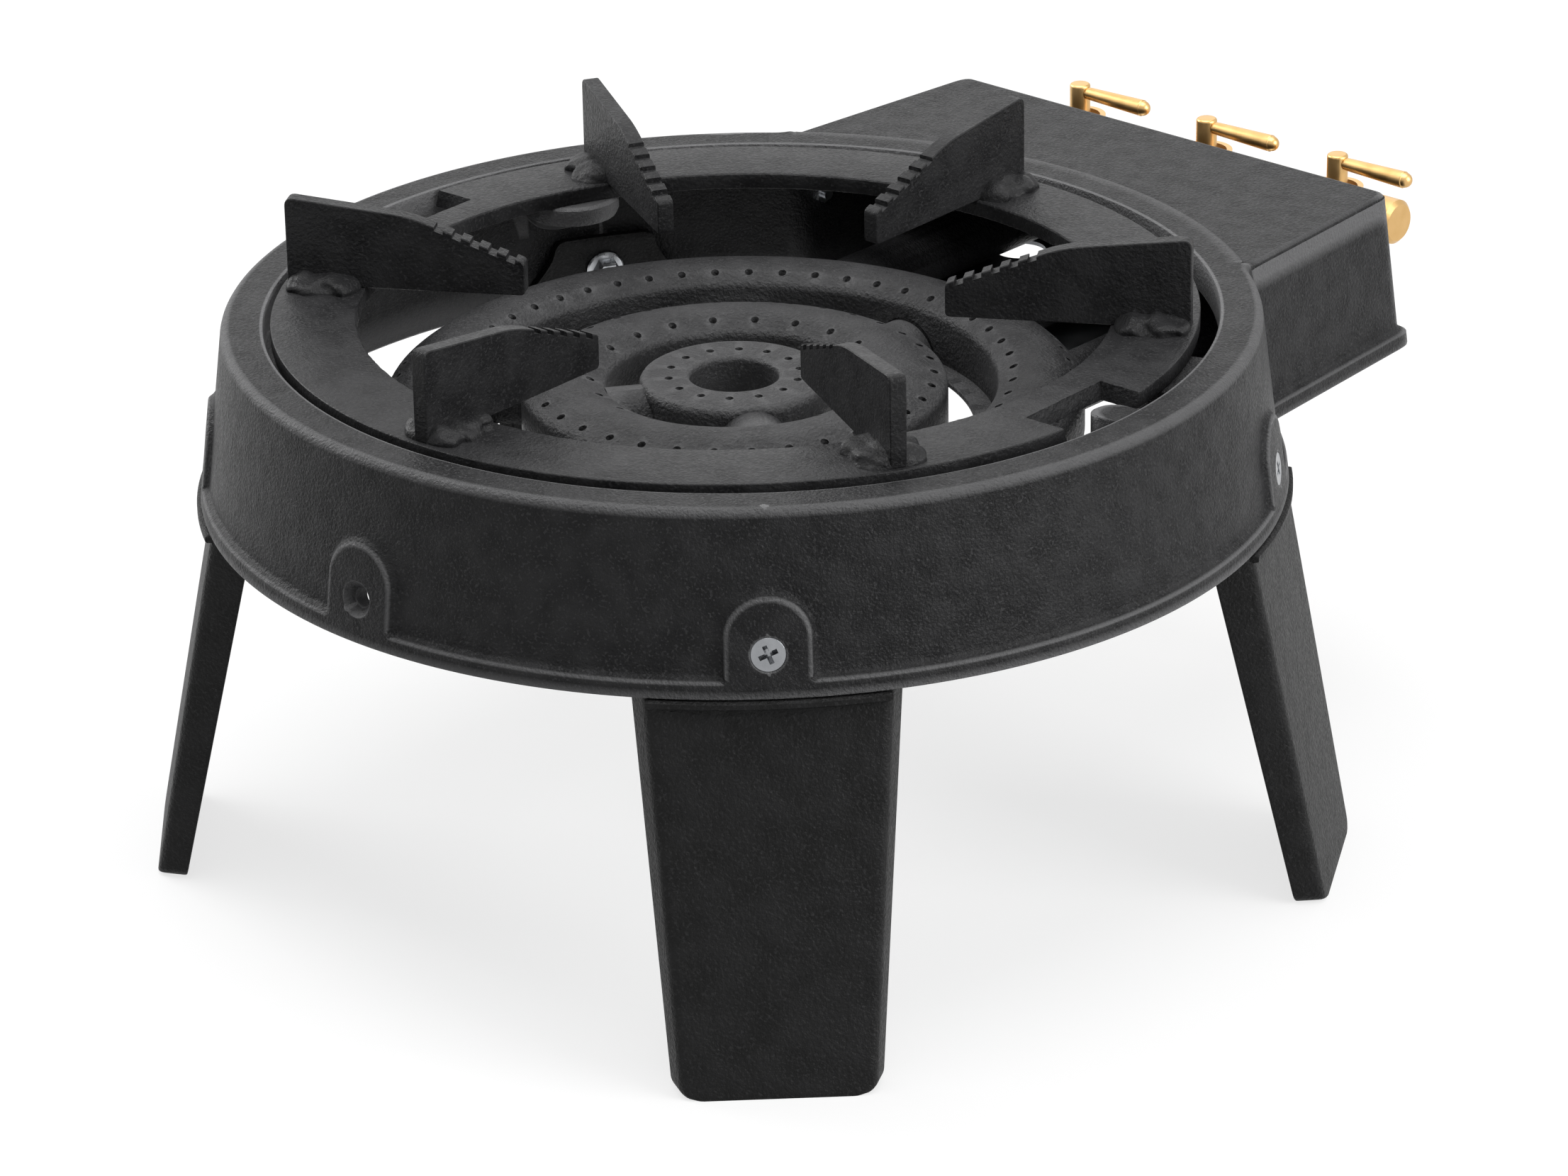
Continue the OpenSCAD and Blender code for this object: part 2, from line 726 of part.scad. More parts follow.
module outer_base() {
    color(zinc) placed() at_burner() difference() {
        chamber_floor(outer_in_r, outer_out_r);
        for (x = [0, -valve_pitch]) along_tube(x, sleeve_r + seat_gap, 0, outer_out_r);
        along_tube(valve_pitch, tunnel_r, outer_feed_y - seat_gap, outer_out_r);
    }
}

// Hexagon by its width across flats
module hexagon(flats, height) {
    cylinder(r = flats / sqrt(3), h = height, $fn = 6);
}

// Local frame of a burner screw: z = 0 on the shelf
module at_arm_screw(side) {
    toward(side * arm_angle) translate([0, -arm_screw_r, -cast_floor]) children();
}

screw_head = 4;
screw_end = 2;

module burner_screws() {
    below = shelf_thick + nut_height + screw_end;
    color(zinc) placed() at_burner() for (side = [-1, 1]) at_arm_screw(side) {
        translate([0, 0, -below]) cylinder(r = screw_r, h = below + arm_thick + bite);
        translate([0, 0, arm_thick]) hexagon(nut_flats, screw_head);
    }
}

module burner_nuts() {
    color(zinc) placed() at_burner() for (side = [-1, 1]) at_arm_screw(side)
        translate([0, 0, -shelf_thick - nut_height]) difference() {
            hexagon(nut_flats, nut_height);
            translate([0, 0, -bite]) cylinder(r = screw_r + plug_gap, h = nut_height + 2 * bite);
        }
}

// Legs
leg_top_r = lip_r - leg_inset;
leg_run = (stand_height - drum_depth) / cos(leg_splay);
leg_taper = atan((leg_top_width - leg_foot_width) / 2 / leg_run);
leg_thinning = atan((flange_top - flange_foot) / leg_run);
tongue_inset = 6;
tongue_foot = 4;

// Right side of a leg: tapered, drafted outwards to the rear, its lower corner cut
module leg_side(inset) {
    translate([leg_top_width / 2, 0, 0]) rotate([0, leg_taper, 0]) rotate([0, 0, -flange_draft])
        left_of(inset);
}

module leg_corner() {
    translate([leg_foot_width / 2, 0, foot_cut - leg_run]) rotate([0, 45, 0]) left_of(0);
}

// Wedge between a leg's two sides, behind its face moved in by an inset
module leg_wedge(inset) {
    intersection() {
        leg_side(inset);
        mirror([1, 0, 0]) leg_side(inset);
        translate([-block / 2, inset, -block / 2]) cube(block);
    }
}

// Channel-section leg, cut level under the lip and at the ground
module leg_channel() {
    intersection() {
        translate([0, -leg_top_r, -drum_depth]) rotate([-leg_splay, 0, 0]) difference() {
            intersection() {
                leg_wedge(0);
                leg_corner();
                mirror([1, 0, 0]) leg_corner();
                translate([0, flange_top, 0]) rotate([-leg_thinning, 0, 0]) before(0);
            }
            leg_wedge(leg_thick);
        }
        translate([-block / 2, -block / 2, -stand_height]) cube([block, block, stand_height - drum_depth]);
    }
}

// Tongue that lies against the inside of the drum wall
module leg_tongue() {
    foot_half = leg_top_width / 2 - tongue_inset;
    foot_depth = drum_depth + collar_height / 2;
    intersection() {
        difference() {
            drum_solid(-wall - seat_gap, drum_depth - tongue_height, foot_depth);
            drum_solid(-wall - seat_gap - leg_thick, 0, foot_depth + bite);
        }
        rotate([90, 0, 0]) linear_extrude(lip_r + leg_thick)
            polygon([[-tongue_width / 2, -drum_depth + tongue_height],
                     [tongue_width / 2, -drum_depth + tongue_height],
                     [foot_half, -drum_depth + tongue_foot], [foot_half, -foot_depth],
                     [-foot_half, -foot_depth], [-foot_half, -drum_depth + tongue_foot]]);
    }
}

// Ledge that bears against the underside of the lip
module leg_collar() {
    intersection() {
        translate([0, 0, -drum_depth - collar_height]) difference() {
            cylinder(r = lip_r + collar_out, h = collar_height);
            translate([0, 0, -bite])
                cylinder(r = drum_foot_r - wall - seat_gap - leg_thick - bite, h = collar_height + 2 * bite);
        }
        translate([-leg_top_width / 2, -block, -block / 2]) cube([leg_top_width, block, block]);
    }
}

module leg(angle) {
    color(enamel) placed() difference() {
        toward(angle) {
            leg_channel();
            leg_tongue();
            leg_collar();
        }
        at_screw(angle) translate([0, 0, -5 * wall]) cylinder(r = hole_r, h = 5 * wall);
    }
}

// Stack under a leg screw's head: boss and wall, gap, tongue
clamp_stack = (wall + lip_out + leg_thick) * cos(draft_angle) + 2 * seat_gap;

module leg_screws() {
    length = clamp_stack + nut_height + screw_end;
    slot = 1.2;
    color(zinc) placed() for (angle = leg_angles) at_screw(angle) translate([0, 0, -seat_gap]) difference() {
        union() {
            translate([0, 0, -length]) cylinder(r = screw_r, h = length - bite);
            translate([0, 0, -screw_r]) cylinder(r1 = screw_r, r2 = head_r, h = screw_r);
        }
        // Cross recess for the driver
        for (turn = [0, 90]) rotate([0, 0, turn])
            translate([-screw_r, -slot / 2, -screw_r / 2]) cube([2 * screw_r, slot, screw_r]);
    }
}

module leg_nuts() {
    flange = 1.4;
    color(zinc) placed() for (angle = leg_angles) at_screw(angle)
        translate([0, 0, -clamp_stack - seat_gap - nut_height]) difference() {
            union() {
                hexagon(nut_flats, nut_height);
                translate([0, 0, nut_height - flange]) cylinder(r = nut_flange_r, h = flange);
            }
            translate([0, 0, -bite]) cylinder(r = screw_r + plug_gap, h = nut_height + 2 * bite);
        }
}

// Gas train: the manifold bar feeds three valves, and each valve feeds an injector
neck_r = 6;
neck_seat = 4.5;
bar_chamfer = 1.5;
connector_hex = 6;
bracket_x = valve_pitch / 2;
bracket_edge = 6.5;
bracket_clear = 1.5;
bracket_top = bar_depth + bar_r + seat_gap;
bracket_foot = bracket_top + bracket_thick;
bracket_y = box_rear_y + bracket_foot * tan(rear_draft) + seat_gap;
bracket_head_r = 2 * bracket_screw_r;
bracket_screw_depth = bracket_foot + bracket_head_r + bracket_clear;
bracket_head = 3;
bracket_thread = 5;
bracket_nut_flats = 8;
bracket_nut_height = 4;
plate_depth = tube_depth + tube_r + plate_clear;
plate_rear_y = box_rear_y + plate_depth * tan(rear_draft) - wall / cos(rear_draft);
plate_hole_in = 17;
plate_stack = plate_thick + seat_gap;
tab_in = wall + seat_gap + plate_thick / 2;

module bar_along(r, from_x, to_x) {
    translate([from_x, bar_y, -bar_depth]) rotate([0, 90, 0]) cylinder(r = r, h = to_x - from_x);
}

module manifold() {
    color(brass) placed() difference() {
        union() {
            bar_along(bar_r, -bar_half, bar_half - bar_chamfer);
            translate([bar_half - bar_chamfer, bar_y, -bar_depth]) rotate([0, 90, 0])
                cylinder(r1 = bar_r, r2 = bar_r - bar_chamfer, h = bar_chamfer);
        }
        bar_along(port_r + bite, -bar_half - bite, valve_pitch + neck_r);
        bar_along(neck_r + plug_gap, -bar_half - bite, -bar_half + neck_seat + plug_gap);
        for (x = valve_x) translate([x, bar_y - bar_r, -bar_depth]) rotate([-90, 0, 0]) {
            translate([0, 0, -bite]) cylinder(r = neck_r + plug_gap, h = neck_seat + bite + plug_gap);
            cylinder(r = port_r, h = bar_r);
        }
        for (side = [-1, 1]) translate([side * bracket_x, bar_y, -bar_depth - bar_r - bite])
            cylinder(r = bracket_screw_r + plug_gap, h = bracket_thread + bite);
    }
}

module hose_connector() {
    color(brass) placed() translate([-bar_half, bar_y, -bar_depth]) rotate([0, -90, 0]) difference() {
        union() {
            translate([0, 0, -neck_seat]) cylinder(r = neck_r, h = 2 * neck_seat);
            hexagon(2 * bar_r - bar_chamfer, connector_hex);
            cylinder(r = inlet_r, h = connector_hex + inlet_length);
        }
        translate([0, 0, -neck_seat - bite])
            cylinder(r = port_r + bite, h = neck_seat + connector_hex + inlet_length + 2 * bite);
    }
}

// Local frame of a bracket screw: z runs out of the rear wall, z = 0 on its outer face
module at_bracket(side) {
    translate([side * bracket_x, box_rear_y, 0]) rotate([rear_draft, 0, 0])
        translate([0, 0, -bracket_screw_depth]) rotate([-90, 0, 0]) children();
}

// Local frame of a bar screw: z runs up into the bar, z = 0 under the bracket
module at_bar_screw(side) {
    translate([side * bracket_x, bar_y, -bracket_foot]) children();
}

// Steel angles from the rear wall to the underside of the bar
module manifold_brackets() {
    color(zinc) placed() for (side = [-1, 1]) difference() {
        translate([side * bracket_x - bracket_width / 2, 0, 0]) {
            translate([0, box_rear_y, 0]) rotate([rear_draft, 0, 0])
                translate([0, seat_gap, -bracket_screw_depth - bracket_edge])
                    cube([bracket_width, bracket_thick, bracket_screw_depth + bracket_edge - bracket_top]);
            translate([0, bracket_y, -bracket_foot])
                cube([bracket_width, bar_y + bar_r - bite - bracket_y, bracket_thick]);
        }
        at_bracket(side) translate([0, 0, -wall]) cylinder(r = bracket_screw_r + screw_gap, h = 3 * wall);
        at_bar_screw(side) translate([0, 0, -bite])
            cylinder(r = bracket_screw_r + screw_gap, h = bracket_thick + 2 * bite);
    }
}

module bracket_screws() {
    behind = wall + plate_stack + bracket_nut_height + screw_end;
    color(zinc) placed() for (side = [-1, 1]) {
        at_bracket(side) translate([0, 0, seat_gap + bracket_thick]) {
            translate([0, 0, -bracket_thick - seat_gap - behind])
                cylinder(r = bracket_screw_r, h = behind + bracket_thick + bite);
            cylinder(r = bracket_head_r, h = bracket_head);
        }
        at_bar_screw(side) {
            translate([0, 0, -bite]) cylinder(r = bracket_screw_r, h = bracket_thick + bracket_thread);
            translate([0, 0, -bracket_head]) cylinder(r = bracket_head_r, h = bracket_head);
        }
    }
}

module bracket_nuts() {
    color(zinc) placed() for (side = [-1, 1]) at_bracket(side)
        translate([0, 0, -wall - plate_stack - seat_gap - bracket_nut_height]) difference() {
            hexagon(bracket_nut_flats, bracket_nut_height);
            translate([0, 0, -bite])
                cylinder(r = bracket_screw_r + plug_gap, h = bracket_nut_height + 2 * bite);
        }
}

// Steel plate under the mixing tubes, hung by two upturned tabs from the bracket screws
module plate_tab(side) {
    foot = (plate_depth + plate_thick / 2 - tab_in * sin(rear_draft)) / cos(rear_draft);
    top = bracket_screw_depth - bracket_edge;
    translate([side * bracket_x - bracket_width / 2, box_rear_y, 0]) rotate([rear_draft, 0, 0])
        translate([0, -wall - seat_gap - plate_thick, -foot]) cube([bracket_width, plate_thick, foot - top]);
}

module box_plate() {
    color(zinc) placed() difference() {
        union() {
            intersection() {
                box_solid(wall + 2 * seat_gap, plate_depth, plate_depth + plate_thick);
                translate([-block / 2, plate_rear_y - plate_length, -block / 2]) cube(block);
            }
            for (side = [-1, 1]) plate_tab(side);
        }
        for (x = valve_x) translate([x, plate_rear_y - plate_hole_in, -block / 2])
            cylinder(r = plate_hole_r, h = block);
        for (side = [-1, 1]) at_bracket(side) translate([0, 0, -3 * wall])
            cylinder(r = bracket_screw_r + screw_gap, h = 3 * wall);
    }
}

// Valve levels below the housing top
cup_rim = spindle_top - cup_drop;
cup_floor = cup_rim - cup_depth;
plug_heel = 1.5;
valve_sole = 2.5;
plug_floor = tube_depth + port_r + plug_heel;
valve_floor = plug_floor + valve_sole;
lever_z = spindle_top - lever_drop;
lever_step = 0.4;
lever_spigot_r = lever_root_r - lever_step;
injector_wall = 2.5;
injector_step = 1.5;
boss_r = injector_r + injector_wall;
boss_reach = valve_r + injector_step;

module valve_body(x) {
    color(brass) placed() translate([x, valve_y, 0]) difference() {
        union() {
            translate([0, 0, -valve_floor]) cylinder(r = valve_r, h = valve_floor + cup_rim);
            translate([0, 0, -bar_depth]) rotate([-90, 0, 0])
                cylinder(r = neck_r, h = bar_back - bar_r + neck_seat);
            translate([0, 0, -tube_depth]) rotate([90, 0, 0]) cylinder(r = boss_r, h = boss_reach);
        }
        translate([0, 0, -plug_floor]) cylinder(r = plug_r, h = block);
        translate([0, 0, cup_floor]) cylinder(r = valve_r - cup_wall, h = block);
        translate([0, 0, -bar_depth]) rotate([-90, 0, 0]) cylinder(r = port_r, h = block);
        translate([0, 0, -tube_depth]) rotate([90, 0, 0]) {
            cylinder(r = port_r, h = block);
            translate([0, 0, boss_reach - injector_seat])
                cylinder(r = injector_r - bite + plug_gap, h = block);
        }
    }
}

// Hollow plug: its side port meets the inlet when the lever is turned back, its foot ports stay open
module valve_plug(x) {
    top_chamfer = 1;
    color(brass) placed() translate([x, valve_y, 0]) difference() {
        union() {
            translate([0, 0, -plug_floor + plug_gap])
                cylinder(r = plug_r - plug_gap, h = plug_floor - plug_gap + cup_floor);
            translate([0, 0, cup_floor - bite])
                cylinder(r = spindle_r, h = spindle_top - top_chamfer - cup_floor + bite);
            translate([0, 0, spindle_top - top_chamfer])
                cylinder(r1 = spindle_r, r2 = spindle_r - top_chamfer, h = top_chamfer);
        }
        translate([0, 0, -plug_floor]) cylinder(r = port_r, h = plug_floor - bar_depth + port_r);
        translate([0, 0, -bar_depth]) rotate([0, 90, 0]) cylinder(r = port_r, h = 2 * plug_r);
        for (turn = [0, 90]) translate([0, 0, -tube_depth]) rotate([0, 90, turn])
            cylinder(r = port_r, h = 4 * plug_r, center = true);
        translate([0, 0, lever_z]) rotate([0, 90, 0])
            cylinder(r = lever_spigot_r + plug_gap, h = 2 * spindle_r);
    }
}

module valve_lever(x) {
    dome_step = 0.3;
    dome_r = lever_tip_r - dome_step;
    color(brass) placed() translate([x, valve_y, lever_z]) rotate([0, 90, 0]) {
        translate([0, 0, plug_gap]) cylinder(r = lever_spigot_r, h = spindle_r + bite);
        translate([0, 0, spindle_r + plug_gap])
            cylinder(r1 = lever_root_r, r2 = lever_tip_r, h = lever_reach - dome_r - spindle_r - plug_gap);
        translate([0, 0, lever_reach - dome_r]) sphere(dome_r);
    }
}

// Spring washers that press the plugs into their seats
module valve_washers() {
    washer = 2.4;
    color(zinc) placed() for (x = valve_x) translate([x, valve_y, cup_floor + seat_gap]) difference() {
        cylinder(r = valve_r - cup_wall - seat_gap, h = washer);
        translate([0, 0, -bite]) cylinder(r = spindle_r + 2 * seat_gap, h = washer + 2 * bite);
    }
}

injector_seat = 3;
injector_body = 5;
injector_tip = 2;
jet_r = 0.5;

module injectors() {
    color(brass) placed() for (x = valve_x)
        translate([x, valve_y - boss_reach, -tube_depth]) rotate([90, 0, 0]) difference() {
            union() {
                translate([0, 0, plug_gap - injector_seat])
                    cylinder(r = injector_r - bite, h = injector_seat + bite);
                translate([0, 0, plug_gap]) cylinder(r = injector_r, h = injector_body);
                translate([0, 0, injector_body])
                    cylinder(r1 = injector_r, r2 = injector_r / 2, h = injector_tip);
            }
            translate([0, 0, -injector_seat]) cylinder(r = port_r, h = injector_seat + injector_body);
            cylinder(r = jet_r, h = injector_body + injector_tip + bite, $fn = 24);
        }
}

// Distance along the box's side from its rear edge to the corner with the drum, at the screw's depth
box_half = box_rear_width / 2;
side_middle = box_rear_y * cos(box_taper) - box_half * sin(box_taper);
side_reach = pow(box_half, 2) + pow(box_rear_y, 2) - pow(wall_r(box_screw_depth), 2);
corner_back = side_middle - sqrt(pow(side_middle, 2) - side_reach);

// Local frame of the box's own screw: z runs out of the left wall, z = 0 on its outer face
module at_box_screw() {
    mirror([1, 0, 0]) translate([box_half, box_rear_y, 0])
        rotate([0, 0, box_taper]) rotate([0, -side_draft, 0])
            translate([0, box_screw_clear - corner_back, -box_screw_depth]) rotate([0, 90, 0]) children();
}

box_nut_flats = 7;
box_nut_height = 3.2;

module box_screw() {
    behind = wall + box_nut_height + screw_end;
    color(zinc) placed() at_box_screw() {
        translate([0, 0, -behind]) cylinder(r = box_screw_r, h = behind + bite);
        cylinder(r = 2 * box_screw_r, h = box_screw_r);
    }
}

module box_nut() {
    color(zinc) placed() at_box_screw() translate([0, 0, -wall - box_nut_height]) difference() {
        hexagon(box_nut_flats, box_nut_height);
        translate([0, 0, -bite]) cylinder(r = box_screw_r + plug_gap, h = box_nut_height + 2 * bite);
    }
}

housing();
pot_ring();
pot_fin(0);  // pot_fin_1
pot_fin(1);  // pot_fin_2
pot_fin(2);  // pot_fin_3
pot_fin(3);  // pot_fin_4
pot_fin(4);  // pot_fin_5
pot_fin(5);  // pot_fin_6
pot_welds();
centre_burner();
middle_burner();
outer_burner();
centre_base();
middle_base();
outer_base();
burner_screws();
burner_nuts();
leg(-front_leg_angle);  // leg_front_left
leg(front_leg_angle);  // leg_front_right
leg(-rear_leg_angle);  // leg_rear_left
leg(rear_leg_angle);  // leg_rear_right
leg_screws();
leg_nuts();
manifold();
hose_connector();
manifold_brackets();
bracket_screws();
bracket_nuts();
box_plate();
valve_body(-valve_pitch);  // valve_body_left
valve_body(0);  // valve_body_centre
valve_body(valve_pitch);  // valve_body_right
valve_plug(-valve_pitch);  // valve_plug_left
valve_plug(0);  // valve_plug_centre
valve_plug(valve_pitch);  // valve_plug_right
valve_lever(-valve_pitch);  // valve_lever_left
valve_lever(0);  // valve_lever_centre
valve_lever(valve_pitch);  // valve_lever_right
valve_washers();
injectors();
box_screw();
box_nut();
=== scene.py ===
import math

import bmesh
import bpy
from mathutils import Matrix, Vector, noise


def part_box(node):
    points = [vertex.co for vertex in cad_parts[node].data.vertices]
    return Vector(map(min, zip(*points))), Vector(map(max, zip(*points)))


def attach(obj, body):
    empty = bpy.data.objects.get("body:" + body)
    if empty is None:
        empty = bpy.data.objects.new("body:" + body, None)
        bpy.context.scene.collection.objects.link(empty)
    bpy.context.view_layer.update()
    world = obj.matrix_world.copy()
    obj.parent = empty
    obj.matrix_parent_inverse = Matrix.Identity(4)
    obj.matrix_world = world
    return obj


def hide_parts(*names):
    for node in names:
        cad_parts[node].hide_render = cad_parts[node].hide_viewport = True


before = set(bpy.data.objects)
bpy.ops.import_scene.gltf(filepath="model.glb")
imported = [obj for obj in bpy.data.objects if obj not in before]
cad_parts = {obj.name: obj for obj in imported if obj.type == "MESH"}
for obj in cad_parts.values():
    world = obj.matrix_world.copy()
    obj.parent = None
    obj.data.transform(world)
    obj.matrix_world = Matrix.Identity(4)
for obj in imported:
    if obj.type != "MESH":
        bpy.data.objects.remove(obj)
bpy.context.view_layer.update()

# The housing: a round cast-iron drum with a flat box grown out of its back, open below. It is cast in
# one piece, drafted so that it leaves the sand mould, and powder coated black. Five arched bosses carry
# countersunk holes: four hold the legs, and the one at the front is left empty.
MM = 0.001
low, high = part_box("housing")
lip_r = (high[0] - low[0]) / 2 / MM
axis_y = low[1] / MM + lip_r
rim_z = high[2] / MM
drum_depth = rim_z - low[2] / MM
lip_out = 2.4
lip_height = 8
drum_flare = 8
drum_r = lip_r - lip_out - drum_flare
wall = 6
recess_r = drum_r - 15
rim_depth = 13
edge_round = 3
draft = math.atan(drum_flare / drum_depth)
box_half = 102.5
box_rear = 242
box_drop = 1.5
box_corner_bearings = (157.1, 143.9)
box_taper = math.radians(5)
side_draft = math.radians(3)
rear_draft = math.radians(7.5)
corner_round = 7
inner_fillet = 6
boss_half = 14.5
boss_top = 28.5
screw_depth = 48.5
leg_bearings = {"front_left": -45, "front_right": 45, "rear_left": -120, "rear_right": 120}
empty_bearing = 0
from_axis = Matrix.Translation((0, axis_y * MM, rim_z * MM)) @ Matrix.Scale(MM, 4)


def linear(hex_colour):
    """An sRGB hex colour as linear red, green, blue and alpha."""
    parts = [int(hex_colour[i:i + 2], 16) / 255 for i in (1, 3, 5)]
    return [p / 12.92 if p < 0.04045 else ((p + 0.055) / 1.055) ** 2.4 for p in parts] + [1]


def add_node(material, kind, settings=None, **links):
    """Adds a node with its settings, then its sockets' values or links; i3 means the socket at index 3."""
    tree = material.node_tree
    node = tree.nodes.new(kind)
    for name, value in (settings or {}).items():
        setattr(node, name, value)
    for name, value in links.items():
        key = int(name[1:]) if name[1:].isdigit() else name.replace("_", " ")
        socket = node.inputs[key]
        if isinstance(value, bpy.types.NodeSocket):
            tree.links.new(value, socket)
        else:
            socket.default_value = value
    return node


def new_material(name):
    """An empty material with only its output, and that output's surface socket."""
    material = bpy.data.materials.new(name)
    material.use_nodes = True
    material.node_tree.nodes.clear()
    output = material.node_tree.nodes.new("ShaderNodeOutputMaterial")
    return material, output.inputs["Surface"]


def coated_iron(name, dark, light, grit, depth, sheen, painted_glints, highlight_wear):
    """Black powder coat on rough iron: coarse grain, pale specks painted as glints, and edges painted paler
    as a highlight and as wear.
    """
    # Pale tone of the edges: a painted highlight, and partly the coat worn thin.
    highlight_wear_tone = linear("#666667")
    material, surface = new_material(name)
    place = add_node(material, "ShaderNodeTexCoord").outputs["Object"]
    grain = add_node(material, "ShaderNodeTexNoise", Vector=place, Scale=1 / (grit * MM), Detail=2.0,
                     Roughness=0.6)
    swell = add_node(material, "ShaderNodeTexNoise", Vector=place, Scale=1 / (9 * grit * MM), Detail=2.0)
    # Sparse pale specks from this noise are painted into the colour as glints of the grain.
    glint_speckle = add_node(material, "ShaderNodeTexNoise", Vector=place, Scale=1 / (0.8 * grit * MM), Detail=0.0)
    # Edges found by their pointiness are painted paler: a painted highlight, and partly wear.
    edge = add_node(material, "ShaderNodeNewGeometry").outputs["Pointiness"]
    highlight_wear_mask = add_node(material, "ShaderNodeMapRange", i0=edge, i1=0.508, i2=0.535, i3=0.0, i4=highlight_wear)
    patch = add_node(material, "ShaderNodeMapRange", i0=swell.outputs[0], i1=0.35, i2=0.65, i3=0.0, i4=0.22)
    painted_glint_mask = add_node(material, "ShaderNodeMapRange", i0=glint_speckle.outputs[0], i1=0.6, i2=0.72, i3=0.0, i4=painted_glints)
    tone = add_node(material, "ShaderNodeMath", {"operation": "MAXIMUM"},
                    i0=patch.outputs[0], i1=painted_glint_mask.outputs[0])
    colour = add_node(material, "ShaderNodeMix", {"data_type": "RGBA"}, i0=tone.outputs[0],
                      i6=linear(dark), i7=linear(light))
    colour = add_node(material, "ShaderNodeMix", {"data_type": "RGBA"}, i0=highlight_wear_mask.outputs[0],
                      i6=colour.outputs[2], i7=highlight_wear_tone)
    rough = add_node(material, "ShaderNodeMapRange", i0=grain.outputs[0], i1=0.3, i2=0.7,
                     i3=sheen + 0.08, i4=sheen - 0.1)
    peel = add_node(material, "ShaderNodeBump", Strength=1.0, Distance=depth * MM, Height=grain.outputs[0])
    lumps = add_node(material, "ShaderNodeBump", Strength=0.6, Distance=2 * depth * MM,
                     Height=swell.outputs[0], Normal=peel.outputs[0])
    # The IOR is lower than a coat's usual 1.5, to match how dull the real one looks.
    shader = add_node(material, "ShaderNodeBsdfPrincipled", Base_Color=colour.outputs[2],
                      Roughness=rough.outputs[0], Normal=lumps.outputs[0], IOR=1.24)
    material.node_tree.links.new(shader.outputs[0], surface)
    return material


# Powder coat on the castings: satin black and grey where it catches the light. Pale specks are painted in as
# glints, and the edges are painted paler as a highlight and as worn coat.
# The real grain, under half a millimetre, is too fine to show, so it is drawn about a millimetre wide.
enamel = coated_iron("black_powder_coat", "#151516", "#464647", grit=1.1, depth=0.7, sheen=0.46,
                     painted_glints=0.45, highlight_wear=0.9)


def skin(mesh, rings, around=False):
    """Faces between equal closed rings of points, capped at the ends, or joined if the rings go around."""
    rows = [[mesh.verts.new(point) for point in ring] for ring in rings]
    count = len(rows[0])
    pairs = list(zip(rows, rows[1:])) + ([(rows[-1], rows[0])] if around else [])
    for one, two in pairs:
        for k in range(count):
            mesh.faces.new((one[k], one[(k + 1) % count], two[(k + 1) % count], two[k]))
    if not around:
        mesh.faces.new(reversed(rows[0]))
        mesh.faces.new(rows[-1])
    return mesh


def turned(mesh, stations, place=Matrix(), sides=40):
    """A turned form along z through stations of radius and height, moved to its place."""
    steps = [2 * math.pi * k / sides for k in range(sides)]
    rings = [[place @ Vector((r * math.cos(a), r * math.sin(a), z)) for a in steps] for r, z in stations]
    return skin(mesh, rings)


def carve(base, tool, how="DIFFERENCE"):
    """Cuts one closed mesh from another, or joins it on."""
    pair = []
    for part in (base, tool):
        bmesh.ops.recalc_face_normals(part, faces=part.faces)
        data = bpy.data.meshes.new("carving")
        part.to_mesh(data)
        part.free()
        pair.append(bpy.data.objects.new("carving", data))
        bpy.context.collection.objects.link(pair[-1])
    change = pair[0].modifiers.new("carving", "BOOLEAN")
    change.operation = how
    change.solver = "MANIFOLD"
    change.object = pair[1]
    bpy.context.view_layer.update()
    shaped = pair[0].evaluated_get(bpy.context.evaluated_depsgraph_get())
    result = bmesh.new()
    result.from_mesh(shaped.to_mesh())
    for part in pair:
        data = part.data
        bpy.data.objects.remove(part)
        bpy.data.meshes.remove(data)
    return result


def finish_piece(name, mesh, material, body, nodes, crease):
    """Makes a piece of a mesh in millimetres about the drum axis, standing for nodes of the frame."""
    bmesh.ops.recalc_face_normals(mesh, faces=mesh.faces)
    mesh.transform(from_axis)
    data = bpy.data.meshes.new(name)
    mesh.to_mesh(data)
    mesh.free()
    data.materials.append(material)
    data.shade_smooth()
    data.set_sharp_from_angle(angle=math.radians(crease))
    piece = bpy.data.objects.new(name, data)
    bpy.context.collection.objects.link(piece)
    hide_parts(*nodes)
    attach(piece, body)


def bearing(angle):
    """Turns what is drawn at the front to a bearing round the drum, in degrees towards the right."""
    return Matrix.Rotation(math.radians(angle), 4, "Z")


def ramp(value, start, end):
    """Smooth rise from 0 to 1 between two values."""
    t = min(max((value - start) / (end - start), 0), 1)
    return t * t * (3 - 2 * t)


def blend_up(a, b, width):
    """The larger of two values, rounded where they meet."""
    near = max(width - abs(a - b), 0) / width
    return max(a, b) + near * near * width / 4


def outline(angle, depth, out):
    """Distance of the outer wall from the axis at a bearing and depth, and how much of it is box."""
    round_r = drum_r + drum_flare * depth / drum_depth + out
    across = abs(math.sin(math.radians(angle)))
    back = -math.cos(math.radians(angle))
    if back < 0.3:
        return round_r, 0
    side = box_half + box_rear * math.tan(box_taper)
    side += (depth * math.tan(side_draft) + out) / math.cos(box_taper)
    side /= across + back * math.tan(box_taper)
    rear = (box_rear + depth * math.tan(rear_draft) + out) / back
    square_r = -blend_up(-side, -rear, corner_round)
    return blend_up(round_r, square_r, inner_fillet), ramp(square_r - round_r, 0, 5)


def boss(angle, depth):
    """How far an arched boss has risen from the wall at a bearing and depth, from 0 to 1."""
    rise = 0
    for centre in list(leg_bearings.values()) + [empty_bearing]:
        turn = (angle - centre + 180) % 360 - 180
        if abs(turn) > 8:
            continue
        aside = math.radians(turn) * drum_r
        above = max(boss_top + boss_half - depth, 0)
        rise = max(rise, 1 - ramp(math.hypot(aside, above) - boss_half, -1.3, 1.3))
    return rise


